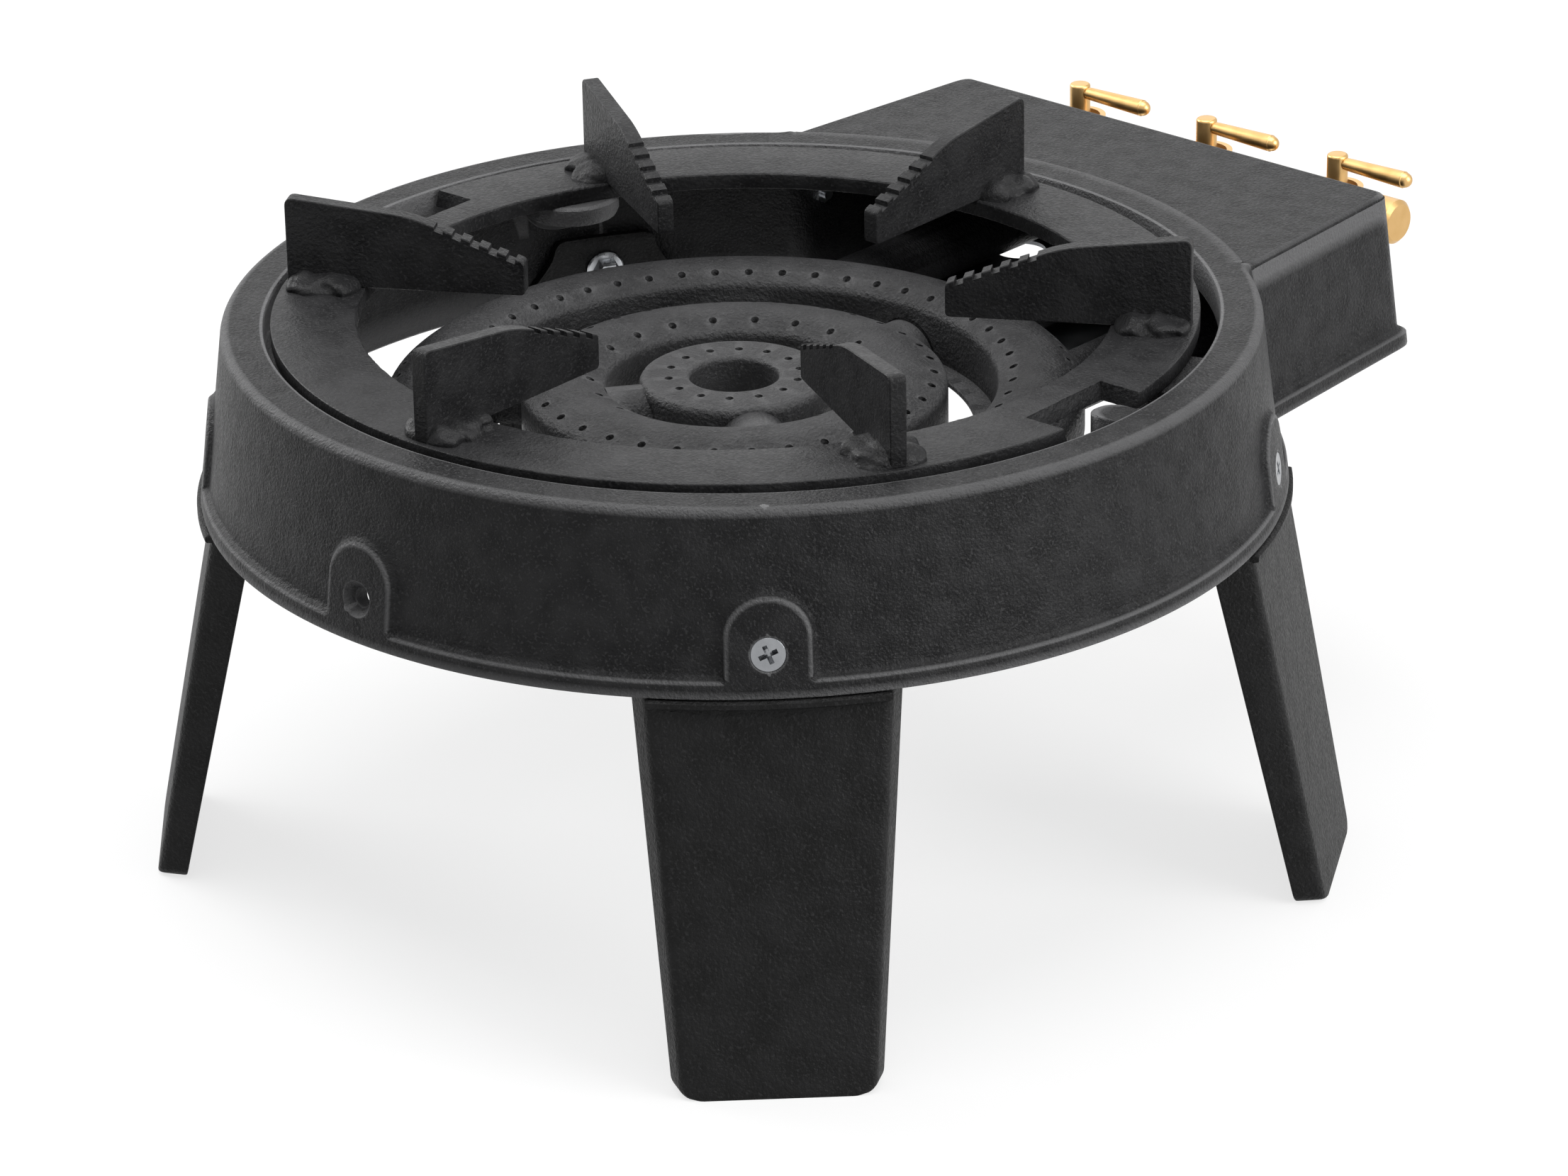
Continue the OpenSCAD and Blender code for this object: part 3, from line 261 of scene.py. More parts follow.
def housing_column(angle):
    """Closed outline of the housing's wall at a bearing: rim, outside, lip, inside and roof."""
    edge_r, boxed = outline(angle, 0, 0)
    face_z = -box_drop * boxed
    start = edge_r - edge_round
    points = [(recess_r, -rim_depth + 1), (recess_r, -1.2), (recess_r + 0.35, -0.35), (recess_r + 1.2, 0),
              (recess_r + 1.6, 0), (drum_r - 8, 0)]
    points += [(min(drum_r + r, start - 1.5 + 0.5 * k), face_z * fall)
               for k, (r, fall) in enumerate(((-2, 0), (-0.5, 0.2), (1, 1)))]
    points.append((start - 0.3, face_z))
    for k in range(6):
        turn = math.pi / 2 * k / 5
        sink = edge_round * (1 - math.cos(turn))
        points.append((outline(angle, sink, 0)[0] - edge_round * (1 - math.sin(turn)), face_z - sink))
    depths = [3.6, 9, 15, 21, 26] + [27 + k for k in range(29)]
    depths += [56 + 0.6 * k for k in range(6)] + [60.5, drum_depth - 1]
    for depth in depths:
        lip = ramp(depth, drum_depth - lip_height, drum_depth - lip_height + lip_out)
        out = lip_out * max(lip, boss(angle, depth))
        points.append((outline(angle, depth, out)[0], -depth))
    foot_r = outline(angle, drum_depth, lip_out)[0]
    points += [(foot_r - 0.3, -drum_depth + 0.3), (foot_r - 1, -drum_depth)]
    points += [(outline(angle, drum_depth, 1 - wall)[0], -drum_depth)]
    points += [(outline(angle, depth, -wall)[0], -depth) for depth in (drum_depth - 1, 50, 36, 24)]
    roof = rim_depth + (box_drop + wall - rim_depth) * boxed
    inside = outline(angle, roof, -wall)[0]
    points += [(inside, -roof - 3), (inside - 0.9, -roof - 0.9), (inside - 3, -roof)]
    skirt = recess_r + wall
    points += [(skirt + 0.4, -roof), (skirt, -roof - 0.1 * (1 - boxed) - 0.4 * boxed)]
    points += [(skirt - 0.4, -rim_depth - 0.15), (recess_r + 1, -rim_depth - 0.1)]
    return points


def fine_bearings():
    """Bearings round the housing, closer together at the bosses and at the box's corners."""
    steps = {round(1.5 * k, 2) for k in range(240)}
    for centre in list(leg_bearings.values()) + [empty_bearing]:
        steps |= {round((centre + 0.25 * k) % 360, 2) for k in range(-22, 23)}
    for corner in box_corner_bearings:
        for side in (corner, 360 - corner):
            steps |= {round(side + 0.25 * k, 2) for k in range(-12, 13)}
    return sorted(steps)


def around_axis(angle, radius, z):
    """Point at a bearing, radius and height."""
    a = math.radians(angle)
    return (radius * math.sin(a), -radius * math.cos(a), z)


def at_screw(angle):
    """Frame of a leg screw: z runs out along the wall's normal from the boss face."""
    face_r = drum_r + drum_flare * screw_depth / drum_depth + lip_out
    lean = Matrix.Rotation(math.pi / 2 - draft, 4, "X")
    return bearing(angle) @ Matrix.Translation((0, -face_r, -screw_depth)) @ lean


def lug(mesh, angle, tip_r, half, levels):
    """Half-round lug that grows in from the wall; levels give heights and how far it has grown there."""
    back_r = drum_r - 3
    rings = []
    for z, scale in levels:
        nose = half * scale
        centre = back_r - (back_r - tip_r - half) * scale
        arc = [math.pi * k / 12 for k in range(13)]
        ring = [(nose * math.cos(a), -centre + nose * math.sin(a), z) for a in arc]
        ring += [(-nose, -back_r, z), (nose, -back_r, z)]
        rings.append([bearing(angle) @ Vector(point) for point in ring])
    return skin(mesh, rings)


ring_thick = 6
corbel_half = 17.5
corbel_tip = 131
corbel_bearings = (30, -30, 112, -112)
corbel_levels = [(-23.5, 0.45), (-20, 0.62), (-16, 0.8), (-13.5, 0.97), (-11, 1), (-7, 1), (-6.3, 0.985),
                 (-ring_thick, 0.96)]
key_half = 7
key_tip = 151.5
key_bearings = (95, -85)
key_levels = [(-rim_depth - 0.5, 0.97), (-rim_depth + 1, 1), (-4, 1), (-3.2, 0.95), (-ring_thick / 2, 0.85)]
hole_r = 3.3
countersink = [(hole_r, -24), (hole_r, -3.4), (hole_r + 0.4, -2.9), (6.5, 0.1), (7.5, 1.1)]
tube_depth = 46
tube_pitch = 63
tube_hole_r = 9.7
rear_wall_span = (225, 275)
housing = bmesh.new()
columns = [[around_axis(a, r, z) for r, z in housing_column(a)] for a in fine_bearings()]
skin(housing, columns, around=True)
lugs = bmesh.new()
for angle in corbel_bearings:
    lug(lugs, angle, corbel_tip, corbel_half, corbel_levels)
for angle in key_bearings:
    lug(lugs, angle, key_tip, key_half, key_levels)
housing = carve(housing, lugs, "UNION")
holes = bmesh.new()
for angle in list(leg_bearings.values()) + [empty_bearing]:
    turned(holes, countersink, at_screw(angle))
for x in (-tube_pitch, 0, tube_pitch):
    turned(holes, [(tube_hole_r, y) for y in rear_wall_span],
           Matrix.Translation((x, 0, -tube_depth)) @ Matrix.Rotation(-math.pi / 2, 4, "X"))
housing = carve(housing, holes)
finish_piece("drum_and_valve_box", housing, enamel, "burner", ["housing"], crease=32)

# The burner: three sand-cast iron rings, one inside the other, drilled with rows of flame holes. Each is
# hollow below and has its own mixing tube back to the box; humps between the rings pass the flame on.
burner_y = -4.5
crest_z = -22.5
cast_floor = -45
chamber_z = -28
cast_wall = 4.5
tube_r = 11
bore_r = 8
sleeve_r = 13.8
tunnel_r = 11.2
spigot_r = 9.5
mouth_y = 244.8
hub_in, hub_out = 15.8, 34
middle_in, middle_out = 45.5, 76
outer_in, outer_out = 93.5, 124.5
hump_r = 12.5
hump_sink = 3.5
flame_r = 1.5
foot_in = 85.5

# Sand-cast iron under a thin matt black coat: a coarse grain of sand that breaks up the light.
burner_iron = coated_iron("sand_cast_iron", "#2a2a2b", "#515152", grit=1.4, depth=0.85, sheen=0.48,
                          painted_glints=0.35, highlight_wear=0.3)


def rounded(corners, steps=4):
    """Closed outline through corners of x, y and rounding."""
    points = []
    for k, (x, y, r) in enumerate(corners):
        here = Vector((x, y))
        to_last = Vector(corners[k - 1][:2]) - here
        to_next = Vector(corners[(k + 1) % len(corners)][:2]) - here
        start = here + to_last.normalized() * min(r, 0.48 * to_last.length)
        end = here + to_next.normalized() * min(r, 0.48 * to_next.length)
        for t in ([j / steps for j in range(steps + 1)] if r else [0.5]):
            points.append(start * (1 - t) ** 2 + here * 2 * t * (1 - t) + end * t * t)
    return points


def ring_casting(in_r, out_r, top):
    """Hollow ring open below, its outside given by corners of radius, height and rounding."""
    chamber = [(out_r - cast_wall, cast_floor, 0.5), (out_r - cast_wall, chamber_z - 4, 2),
               (out_r - cast_wall - 4, chamber_z, 2), (in_r + cast_wall, chamber_z, 2),
               (in_r + cast_wall, cast_floor, 0.5)]
    profile = rounded([(in_r, cast_floor, 1)] + top + [(out_r, cast_floor, 1)] + chamber)
    turns = [2.5 * k for k in range(144)]
    return skin(bmesh.new(), [[around_axis(a, p.x, p.y) for p in profile] for a in turns], around=True)


def pipe(radius, x, start, end):
    """Straight pipe or bore along y at the mixing tubes' depth."""
    lie = Matrix.Translation((x, 0, -tube_depth)) @ Matrix.Rotation(-math.pi / 2, 4, "X")
    return turned(bmesh.new(), [(radius, start), (radius, end)], lie)


def hump(angle, start, end):
    """Rounded hump that bridges two rings at a bearing."""
    lie = bearing(angle) @ Matrix.Translation((0, 0, crest_z - hump_sink - hump_r))
    lie = lie @ Matrix.Rotation(math.pi / 2, 4, "X")
    form = turned(bmesh.new(), [(hump_r, start), (hump_r, end)], lie)
    for vert in form.verts:
        vert.co.z = max(vert.co.z, cast_floor + 1)
    return form


def drilled(casting, rows):
    """Drills rows of flame holes, each given by count, radius, outward lean and height."""
    drill = bmesh.new()
    for count, radius, lean, height in rows:
        for k in range(count):
            turn = bearing((k + 0.5) * 360 / count)
            aim = turn @ Matrix.Translation((0, -radius, height)) @ Matrix.Rotation(lean, 4, "X")
            turned(drill, [(flame_r, -6.5), (flame_r, 6)], aim, sides=14)
    return carve(casting, drill)


def slab(half_x, y_span, z_span, bevel):
    """Flat bar with rounded upright corners and softened upper and lower edges."""
    form = bmesh.new()
    rings = []
    low_z, high_z = z_span
    for z, inset in ((low_z, bevel), (low_z + bevel, 0), (high_z - bevel, 0), (high_z, bevel)):
        x, near, far = half_x - inset, y_span[0] + inset, y_span[1] - inset
        corners = [(-x, near, 2), (x, near, 2), (x, far, 2), (-x, far, 2)]
        rings.append([(p.x, p.y, z) for p in rounded(corners)])
    return skin(form, rings)


def joined(casting, forms, bores):
    """Joins forms onto a casting, then cuts bores out of it."""
    for form in forms:
        casting = carve(casting, form, "UNION")
    for bore in bores:
        casting = carve(casting, bore)
    return casting


def tube(x, start):
    """Mixing tube with the thinner spigot that sits in the rear wall."""
    return [pipe(tube_r, x, start, mouth_y), pipe(spigot_r, x, mouth_y - 2, mouth_y + wall)]


hub_top = [(hub_in, crest_z - 2, 2.5), (hub_out, crest_z - 2, 4)]
middle_top = [(middle_in, crest_z - 4.2, 2.5), (middle_in + 9, crest_z, 3),
              (middle_out - 12, crest_z, 4), (middle_out, crest_z - 4.2, 3)]
outer_top = [(outer_in, crest_z - 4.2, 2.5), (outer_in + 9, crest_z, 3), (outer_out - 13.5, crest_z, 3),
             (outer_out - 8, crest_z - 1.6, 2), (outer_out, crest_z - 7.5, 3)]
hub_humps = (-35, 54)
middle_humps = (-58, 62)
hub_holes = [(14, 23.5, 0, crest_z - 2)]
middle_holes = [(21, 51.25, 0, crest_z), (34, 71, 0, crest_z - 2)]
outer_holes = [(50, 99.25, 0, crest_z), (66, outer_out - 4, math.pi / 4, crest_z - 4.5)]
arm_bearings = (-20, 20)
arm_reach = 165
arm_half = 10
arm_thick = 7
foot_low, foot_high = cast_floor - 1.5, cast_floor + 0.5
bore_end = mouth_y + 20
hub = joined(ring_casting(hub_in, hub_out, hub_top),
             tube(0, hub_in + 3) + [pipe(sleeve_r, 0, hub_in + cast_wall, middle_in - 2.4)]
             + [hump(angle, hub_out - 5, middle_in + 1) for angle in hub_humps],
             [pipe(bore_r, 0, hub_in + 6, bore_end)])
hub = drilled(hub, hub_holes)
middle = joined(ring_casting(middle_in, middle_out, middle_top),
                tube(-tube_pitch, 8) + [pipe(sleeve_r, 0, middle_in + 3, outer_in - 1.4)]
                + [hump(angle, middle_out - 5, outer_in + 1) for angle in middle_humps],
                [pipe(tunnel_r, 0, 0, outer_out), pipe(bore_r, -tube_pitch, 14, bore_end)])
middle = drilled(middle, middle_holes)
arms = []
for angle in arm_bearings:
    arms.append(slab(arm_half, (-arm_reach, -outer_out + cast_wall), (cast_floor, cast_floor + arm_thick), 1))
    arms[-1].transform(bearing(angle))
profile = rounded([(foot_in, foot_low, 0.6), (foot_in, foot_high, 0.6), (outer_in + 2, foot_high, 0),
                   (outer_in + 2, foot_low, 0.6)])
foot = skin(bmesh.new(), [[around_axis(2.5 * k, p.x, p.y) for p in profile] for k in range(144)], around=True)
outer = joined(ring_casting(outer_in, outer_out, outer_top), tube(tube_pitch, 84) + arms + [foot],
               [pipe(tunnel_r, 0, 0, outer_out + 5), pipe(tunnel_r, -tube_pitch, 0, outer_out + 5),
                pipe(sleeve_r + 0.4, 0, 0, outer_in), pipe(bore_r, tube_pitch, 89, bore_end)])
outer = drilled(outer, outer_holes)
for name, casting in (("centre", hub), ("middle", middle), ("outer", outer)):
    casting.transform(Matrix.Translation((0, burner_y, 0)))
    finish_piece(name + "_ring_casting", casting, burner_iron, "burner",
                 [name + "_burner"], crease=35)


# Small steel pieces: pressed floors under the castings and the screws and nuts that hold them, the angle
# brackets, the plate under the mixing tubes and the box's own screw. They are cut or cold-headed steel,
# bright zinc plated but for the plate.
def plated(name, tone, shade, rough_low, rough_high, grain):
    """Metal with a cloudy tone and fine marks from tumbling or turning; the marks are drawn coarser."""
    material, surface = new_material(name)
    place = add_node(material, "ShaderNodeTexCoord").outputs["Object"]
    cloud = add_node(material, "ShaderNodeTexNoise", Vector=place, Scale=1 / (6 * MM), Detail=3.0)
    marks = add_node(material, "ShaderNodeTexNoise", Vector=place, Scale=1 / (grain * MM), Detail=2.0)
    colour = add_node(material, "ShaderNodeMix", {"data_type": "RGBA"}, i0=cloud.outputs[0],
                      i6=linear(shade), i7=linear(tone))
    rough = add_node(material, "ShaderNodeMapRange", i0=cloud.outputs[0], i1=0.3, i2=0.7,
                     i3=rough_low, i4=rough_high)
    bump = add_node(material, "ShaderNodeBump", Strength=0.35, Distance=0.05 * MM, Height=marks.outputs[0])
    shader = add_node(material, "ShaderNodeBsdfPrincipled", Base_Color=colour.outputs[2],
                      Roughness=rough.outputs[0], Normal=bump.outputs[0], Metallic=1.0)
    material.node_tree.links.new(shader.outputs[0], surface)
    return material


# Bright zinc on steel: pale, slightly blue and a little cloudy.
zinc = plated("zinc_plated_steel", "#d4d6d9", "#a9acb0", 0.22, 0.36, grain=0.8)
# Plain rolled sheet: duller and darker grey, with a soft blurred sheen.
sheet = plated("rolled_steel_sheet", "#8b8d90", "#6d6f72", 0.42, 0.56, grain=1.2)


def dress(names, material):
    """Gives nodes that stay as they are their finish."""
    for name in names:
        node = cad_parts[name]
        if not node.material_slots:
            node.data.materials.append(material)
        for slot in node.material_slots:
            slot.material = material


dress(["centre_base", "middle_base", "outer_base", "burner_screws", "burner_nuts", "manifold_brackets",
       "bracket_screws", "bracket_nuts", "box_screw", "box_nut"], zinc)
dress(["box_plate"], sheet)

# The legs: cast-iron channels that splay outwards, coated like the housing. Each has a tongue that goes up
# inside the drum wall and a collar ledge that bears on the lip, and is held by one countersunk screw.
leg_face_r = lip_r - 5.2
leg_splay = math.radians(11.2)
leg_half_top, leg_half_foot = 41, 32.5
flange_top, flange_foot = 14.5, 10.5
flange_draft = math.tan(math.radians(18))
leg_thick = 4.8
foot_round = 4.5
collar_height = 3.4
collar_out = 1.4
tongue_top = 37
tongue_half, tongue_foot_half = 20, 35
seat_gap = 0.2

# The same powder coat on the smoother legs: a little darker and duller, without the painted edge highlight
# and wear.
legs_enamel = coated_iron("black_powder_coat_on_legs", "#121212", "#363637", grit=1.3, depth=0.7,
                          sheen=0.5, painted_glints=0.4, highlight_wear=0.0)


def corner_loss(height, radius):
    """How much a rounded corner takes off a half width at a height above its end."""
    rest = max(radius - height, 0)
    return radius - math.sqrt(radius * radius - rest * rest)


def leg_section(level):
    """Channel outline of a leg, cut level at a depth below the rim."""
    share = (level - drum_depth) / (rim_z - drum_depth)
    half = leg_half_top + (leg_half_foot - leg_half_top) * share - corner_loss(rim_z - level, foot_round)
    flange = flange_top + (flange_foot - flange_top) * share
    shell = leg_thick * math.hypot(1, flange_draft)
    tip = half + flange * flange_draft
    root = half + leg_thick * flange_draft - shell
    corners = [(-half, 0, 3), (half, 0, 3), (tip, flange, 1.2), (tip - shell, flange, 1.2),
               (root, leg_thick, 2.5), (-root, leg_thick, 2.5), (shell - tip, flange, 1.2),
               (-tip, flange, 1.2)]
    ring = []
    for point in rounded(corners):
        down = (level - drum_depth - point.y * math.sin(leg_splay)) / math.cos(leg_splay)
        y = point.y * math.cos(leg_splay) - leg_face_r - down * math.sin(leg_splay)
        ring.append((point.x, y, -level))
    return ring


def wall_strip(half, depth, outer_gap, thick):
    """Level loop of a plate that lies along the inside of the drum wall."""
    outer_r = drum_r + drum_flare * depth / drum_depth - outer_gap
    aside = [half * (k / 8 - 1) for k in range(17)]
    loop = [(x, -math.sqrt(outer_r ** 2 - x * x), -depth) for x in aside]
    return loop + [(x, -math.sqrt((outer_r - thick) ** 2 - x * x), -depth) for x in reversed(aside)]


def leg_form():
    """A leg at the front: channel, collar and tongue in one casting."""
    levels = [drum_depth, drum_depth + 0.6, 80, 110, 140, 170, rim_z - 12]
    levels += [rim_z - foot_round * k / 6 for k in range(6, -1, -1)]
    leg = skin(bmesh.new(), [leg_section(level) for level in levels])
    ledge = lip_out + collar_out
    collar_deep = ledge + wall + seat_gap + leg_thick + 2
    collar = []
    for drop, inset in ((0.4, 0.8), (0.9, 0), (collar_height - 0.8, 0), (collar_height, 0.8)):
        strip = wall_strip(leg_half_top - inset, drum_depth, inset - ledge, collar_deep - inset)
        collar.append([(x, y, -drum_depth - drop) for x, y, z in strip])
    leg = carve(leg, skin(bmesh.new(), collar), "UNION")
    tongue = []
    for share in [0, 0.02, 0.05, 0.1, 0.15, 0.25, 0.4, 0.6, 0.8, 0.9, 1]:
        depth = tongue_top + (drum_depth + collar_height / 2 - tongue_top) * share
        half = tongue_half + (tongue_foot_half - tongue_half) * ramp(share, 0.1, 1.0)
        half -= corner_loss(depth - tongue_top, 4)
        soft = 0.8 * (1 - ramp(depth - tongue_top, 0, 1.5))
        tongue.append(wall_strip(half, depth, wall + seat_gap + soft, leg_thick - 2 * soft))
    leg = carve(leg, skin(bmesh.new(), tongue), "UNION")
    hole = turned(bmesh.new(), [(hole_r, -30), (hole_r, -2)], at_screw(0))
    return carve(leg, hole)


for place, angle in leg_bearings.items():
    leg = leg_form()
    leg.transform(bearing(angle))
    finish_piece("leg_" + place + "_casting", leg, legs_enamel, "burner",
                 ["leg_" + place], crease=35)

# The leg fasteners: countersunk steel screws with a cross recess, and flanged hexagon nuts on the tongues.
# They are cold headed and thread rolled; the nuts are bright zinc plated, the screws a darker zinc.
screw_r = 3
head_r = 6
head_sink = 0.25
stack = (wall + lip_out + leg_thick) * math.cos(draft) + 2 * seat_gap
nut_height = 6.5
nut_corner_r = 5.77
flange_r = 7.3
thread_pitch = 1
thread_depth = 0.35
threads = 8
recess_turn = 0.4


def cross_recess(turn):
    """One bar of a driver's cross, narrowing as it goes down."""
    rings = []
    for z, half, width in ((-2.6, 1.3, 0.45), (-1.2, 2.7, 0.7), (0.3, 3.5, 0.85)):
        rings.append([(half, -width, z), (half, width, z), (-half, width, z), (-half, -width, z)])
    form = skin(bmesh.new(), rings)
    form.transform(Matrix.Rotation(turn, 4, "Z"))
    return form


def leg_screw():
    """Countersunk screw, its thread showing at the end."""
    stations = []
    length = stack + nut_height + 2
    for k in range(threads):
        z = -length + thread_pitch * k
        stations += [(screw_r - thread_depth, z), (screw_r, -length + thread_pitch * (k + 0.5))]
    stations = [(screw_r - 0.9, -length - 0.5)] + stations
    stations += [(screw_r, -3.2), (head_r - 0.15, -0.75), (head_r, -0.5), (head_r, -0.2),
                 (head_r - 0.25, 0)]
    screw = turned(bmesh.new(), stations)
    for turn in (recess_turn, recess_turn + math.pi / 2):
        screw = carve(screw, cross_recess(turn))
    return screw


def flange_nut():
    """Hexagon nut on a round flange, bored for its screw, standing up from z = 0."""
    hexagon = [(nut_corner_r, 0.2), (nut_corner_r, nut_height - 0.9), (nut_corner_r - 0.9, nut_height)]
    flange = [(flange_r - 0.2, 0), (flange_r, 0.3), (flange_r, 0.9), (flange_r - 0.5, 1.4),
              (nut_corner_r - 0.6, 1.9)]
    bore = [(screw_r + 0.05, -1), (screw_r + 0.05, nut_height - 0.5), (screw_r + 0.7, nut_height + 0.2)]
    nut = carve(turned(bmesh.new(), hexagon, sides=6), turned(bmesh.new(), flange), "UNION")
    return carve(nut, turned(bmesh.new(), bore))


def copied(form, places):
    """One mesh holding a copy of a form at each place."""
    whole = bmesh.new()
    data = bpy.data.meshes.new("copied")
    form.to_mesh(data)
    form.free()
    for place in places:
        data.transform(place)
        whole.from_mesh(data)
        data.transform(place.inverted())
    bpy.data.meshes.remove(data)
    return whole


# Passivated zinc: a darker grey than on the nuts, still bright where an edge catches the light.
dark_zinc = plated("passivated_zinc", "#a4a6a9", "#7f8184", 0.24, 0.36, grain=0.8)
screw_places = []
nut_places = []
for angle in leg_bearings.values():
    screw_places.append(at_screw(angle) @ Matrix.Translation((0, 0, -head_sink)))
    nut_seat = at_screw(angle) @ Matrix.Translation((0, 0, -stack - seat_gap))
    nut_places.append(nut_seat @ Matrix.Rotation(math.pi, 4, "X"))
finish_piece("countersunk_leg_screws", copied(leg_screw(), screw_places), dark_zinc,
             "burner", ["leg_screws"], crease=25)
finish_piece("flanged_leg_nuts", copied(flange_nut(), nut_places), zinc,
             "burner", ["leg_nuts"], crease=25)

# The pot support: a flat ring flame-cut from plate, with two notches, and six plates welded upright on it.
# It drops loose into the housing's recess, lying a little to the left, and is coated like the castings.
ring_out, ring_in = 164.5, 134
ring_shift = 3
ring_turn = 2.2
notch_half = 21
notch_floor = ring_out - 18
fin_out, fin_bend, fin_in = 162.5, 114.5, 75.5
fin_heights = {"out": 33, "bend": 27.5, "in": 12.5}
fin_half = 3
fin_bevel = 0.4
teeth = 5
tooth_depth = 2
fin_count = 6

# The same powder coat on rolled plate: flatter and a little brighter than on the castings.
ring_enamel = coated_iron("black_powder_coat_on_plate", "#1c1c1d", "#464647", grit=1.3, depth=0.4,
                          sheen=0.44, painted_glints=0.35, highlight_wear=0.0)


def at_ring(turn):
    """Frame of the loose ring, turned to one of its fins."""
    return Matrix.Translation((-ring_shift, 0, 0)) @ bearing(ring_turn + turn)


def cut_edge(angle, z):
    """Roughness of a flame-cut edge in millimetres: fine drag lines over longer waves."""
    a = math.radians(angle)
    around = Vector((math.sin(a), math.cos(a), 0))
    return 0.28 * noise.noise(around * 95 + Vector((0, 0, z * 0.15))) + 0.2 * noise.noise(around * 30)


def ring_column(angle):
    """Section of the ring at a bearing, its inner edge rough."""
    corners = [(ring_in, -ring_thick, 0.6), (ring_in, 0, 1.3), (ring_out, 0, 0.8),
               (ring_out, -ring_thick, 0.6)]
    column = []
    for point in rounded(corners, 3):
        rough = cut_edge(angle, point.y) if point.x < ring_in + 2 else 0
        column.append(around_axis(angle, point.x + rough, point.y))
    return column


def notch_cutter(turn):
    """Block that cuts a notch with rough flanks that slope in towards the underside."""
    reach, step, rough = 27, 3, 0.45
    rings = []
    for z, inset in ((-8, 2.2), (-6, 1.8), (-4, 1.3), (-2, 0.7), (-0.6, 0.3), (0.6, 0), (3, 0)):
        half, floor = notch_half - inset, notch_floor + inset
        side = [(floor + step * k, -half) for k in range(10)]
        side += [(floor + reach, -half + half / 5 * k) for k in range(1, 11)]
        side += [(floor + reach - step * k, half) for k in range(1, 10)]
        side += [(floor, half - half / 5 * k) for k in range(1, 10)]
        rings.append([(x + rough * noise.noise((x, y, z)), y + rough * noise.noise((y, z, x)), z)
                      for x, y in side])
    form = skin(bmesh.new(), rings)
    form.transform(Matrix.Rotation(turn, 4, "Z"))
    return form


ring = skin(bmesh.new(), [ring_column(0.5 * k) for k in range(720)], around=True)
for turn in (0, math.pi):
    ring = carve(ring, notch_cutter(turn))
ring.transform(at_ring(0))
finish_piece("pot_ring_plate", ring, ring_enamel, "pot_support", ["pot_ring"], crease=32)


def fin_outline():
    """Upright outline of a fin before its notches are cut: outer stretch, then a slope to the inner end."""
    corners = [(fin_in, 0.02, 2), (fin_out, 0.02, 0.4), (fin_out, fin_heights["out"], 3.5),
               (fin_bend + 3, fin_heights["bend"] + 0.4, 7), (fin_in, fin_heights["in"], 1.6)]
    return rounded(corners, 8)


def notch_cutters():
    """Square blocks that cut the gripping notches into a fin's slope."""
    pitch = (fin_bend - fin_in) / (teeth + 1)
    slope = (fin_heights["bend"] - fin_heights["in"]) / (fin_bend - fin_in)
    cutters = bmesh.new()
    for k in range(1, teeth + 1):
        near, far = (k - 0.5) * pitch, k * pitch
        floors = [(fin_in + r, fin_heights["in"] + slope * r - tooth_depth) for r in (near, far)]
        block = floors + [(r, z + 3 * tooth_depth) for r, z in reversed(floors)]
        skin(cutters, [[(x, -r, z) for r, z in block] for x in (-2 * fin_half, 2 * fin_half)])
    return cutters


def inset_outline(points, inset):
    """Outline moved inwards by a small amount; it runs against the clock."""
    moved = []
    for k, point in enumerate(points):
        along = points[(k + 1) % len(points)] - points[k - 1]
        moved.append(point + Vector((-along.y, along.x)).normalized() * inset)
    return moved


def fin_form():
    """A fin at the front with softened edges."""
    shape = fin_outline()
    rings = []
    soft = fin_bevel * 0.3
    for x, inset in ((-fin_half, fin_bevel), (-fin_half + 0.2, soft), (-fin_half + fin_bevel, 0),
                     (fin_half - fin_bevel, 0), (fin_half - 0.2, soft), (fin_half, fin_bevel)):
        rings.append([(x, -p.x, p.y) for p in inset_outline(shape, inset)])
    return carve(skin(bmesh.new(), rings), notch_cutters())


for k in range(fin_count):
    fin = fin_form()
    fin.transform(at_ring(k * 360 / fin_count))
    finish_piece("support_fin_%d" % (k + 1), fin, ring_enamel, "pot_support",
                 ["pot_fin_%d" % (k + 1)], crease=15)

weld_start = 1.5
weld_length = 27
weld_size = 10


def weld_bead(mesh, turn, side):
    """Lumpy flattened bead in the corner between a fin and the ring, laid in a few overlapping puddles."""
    rings = []
    for k in range(41):
        share = k / 40
        r = ring_in + weld_start + weld_length * share
        taper = math.sqrt(max(1 - (2 * share - 1) ** 6, 0.02))
        puddle = 0.82 + 0.18 * abs(math.sin(2.5 * math.pi * share + turn + side))
        loop = []
        for j in range(12):
            a = math.pi / 2 * j / 11
            lump = 1 + 0.3 * noise.noise((turn * 0.37 + 1.3 * side, r * 0.17, 1.4 * a))
            size = weld_size * taper * puddle * lump
            loop.append((fin_half + size * math.sin(a), 0.55 * size * math.cos(a)))
        loop += [(loop[-1][0], -0.3), (fin_half - 0.6, -0.3), (fin_half - 0.6, loop[0][1])]
        rings.append([at_ring(turn) @ Vector((side * x, -r, z)) for x, z in loop])
    skin(mesh, rings)


welds = bmesh.new()
for k in range(fin_count):
    for side in (-1, 1):
        weld_bead(welds, k * 360 / fin_count, side)
finish_piece("fin_weld_beads", welds, ring_enamel, "pot_support", ["pot_welds"], crease=60)

# The gas train behind the box: a drilled brass bar feeds three plug valves, each with a turned lever that
# swings on its spindle in an open cup. All are turned from bar and left bright.
stand_off = 10.2
valve_y = box_rear + drum_depth * math.tan(rear_draft) + lip_out / math.cos(rear_draft) + stand_off
spindle_top = -1.5
cup_floor = -21.1
plug_floor = -49.45
spindle_r = 4
plug_r = 4.95
lever_z = spindle_top - 3.2
lever_reach = 34.5
dome_r = 2.9

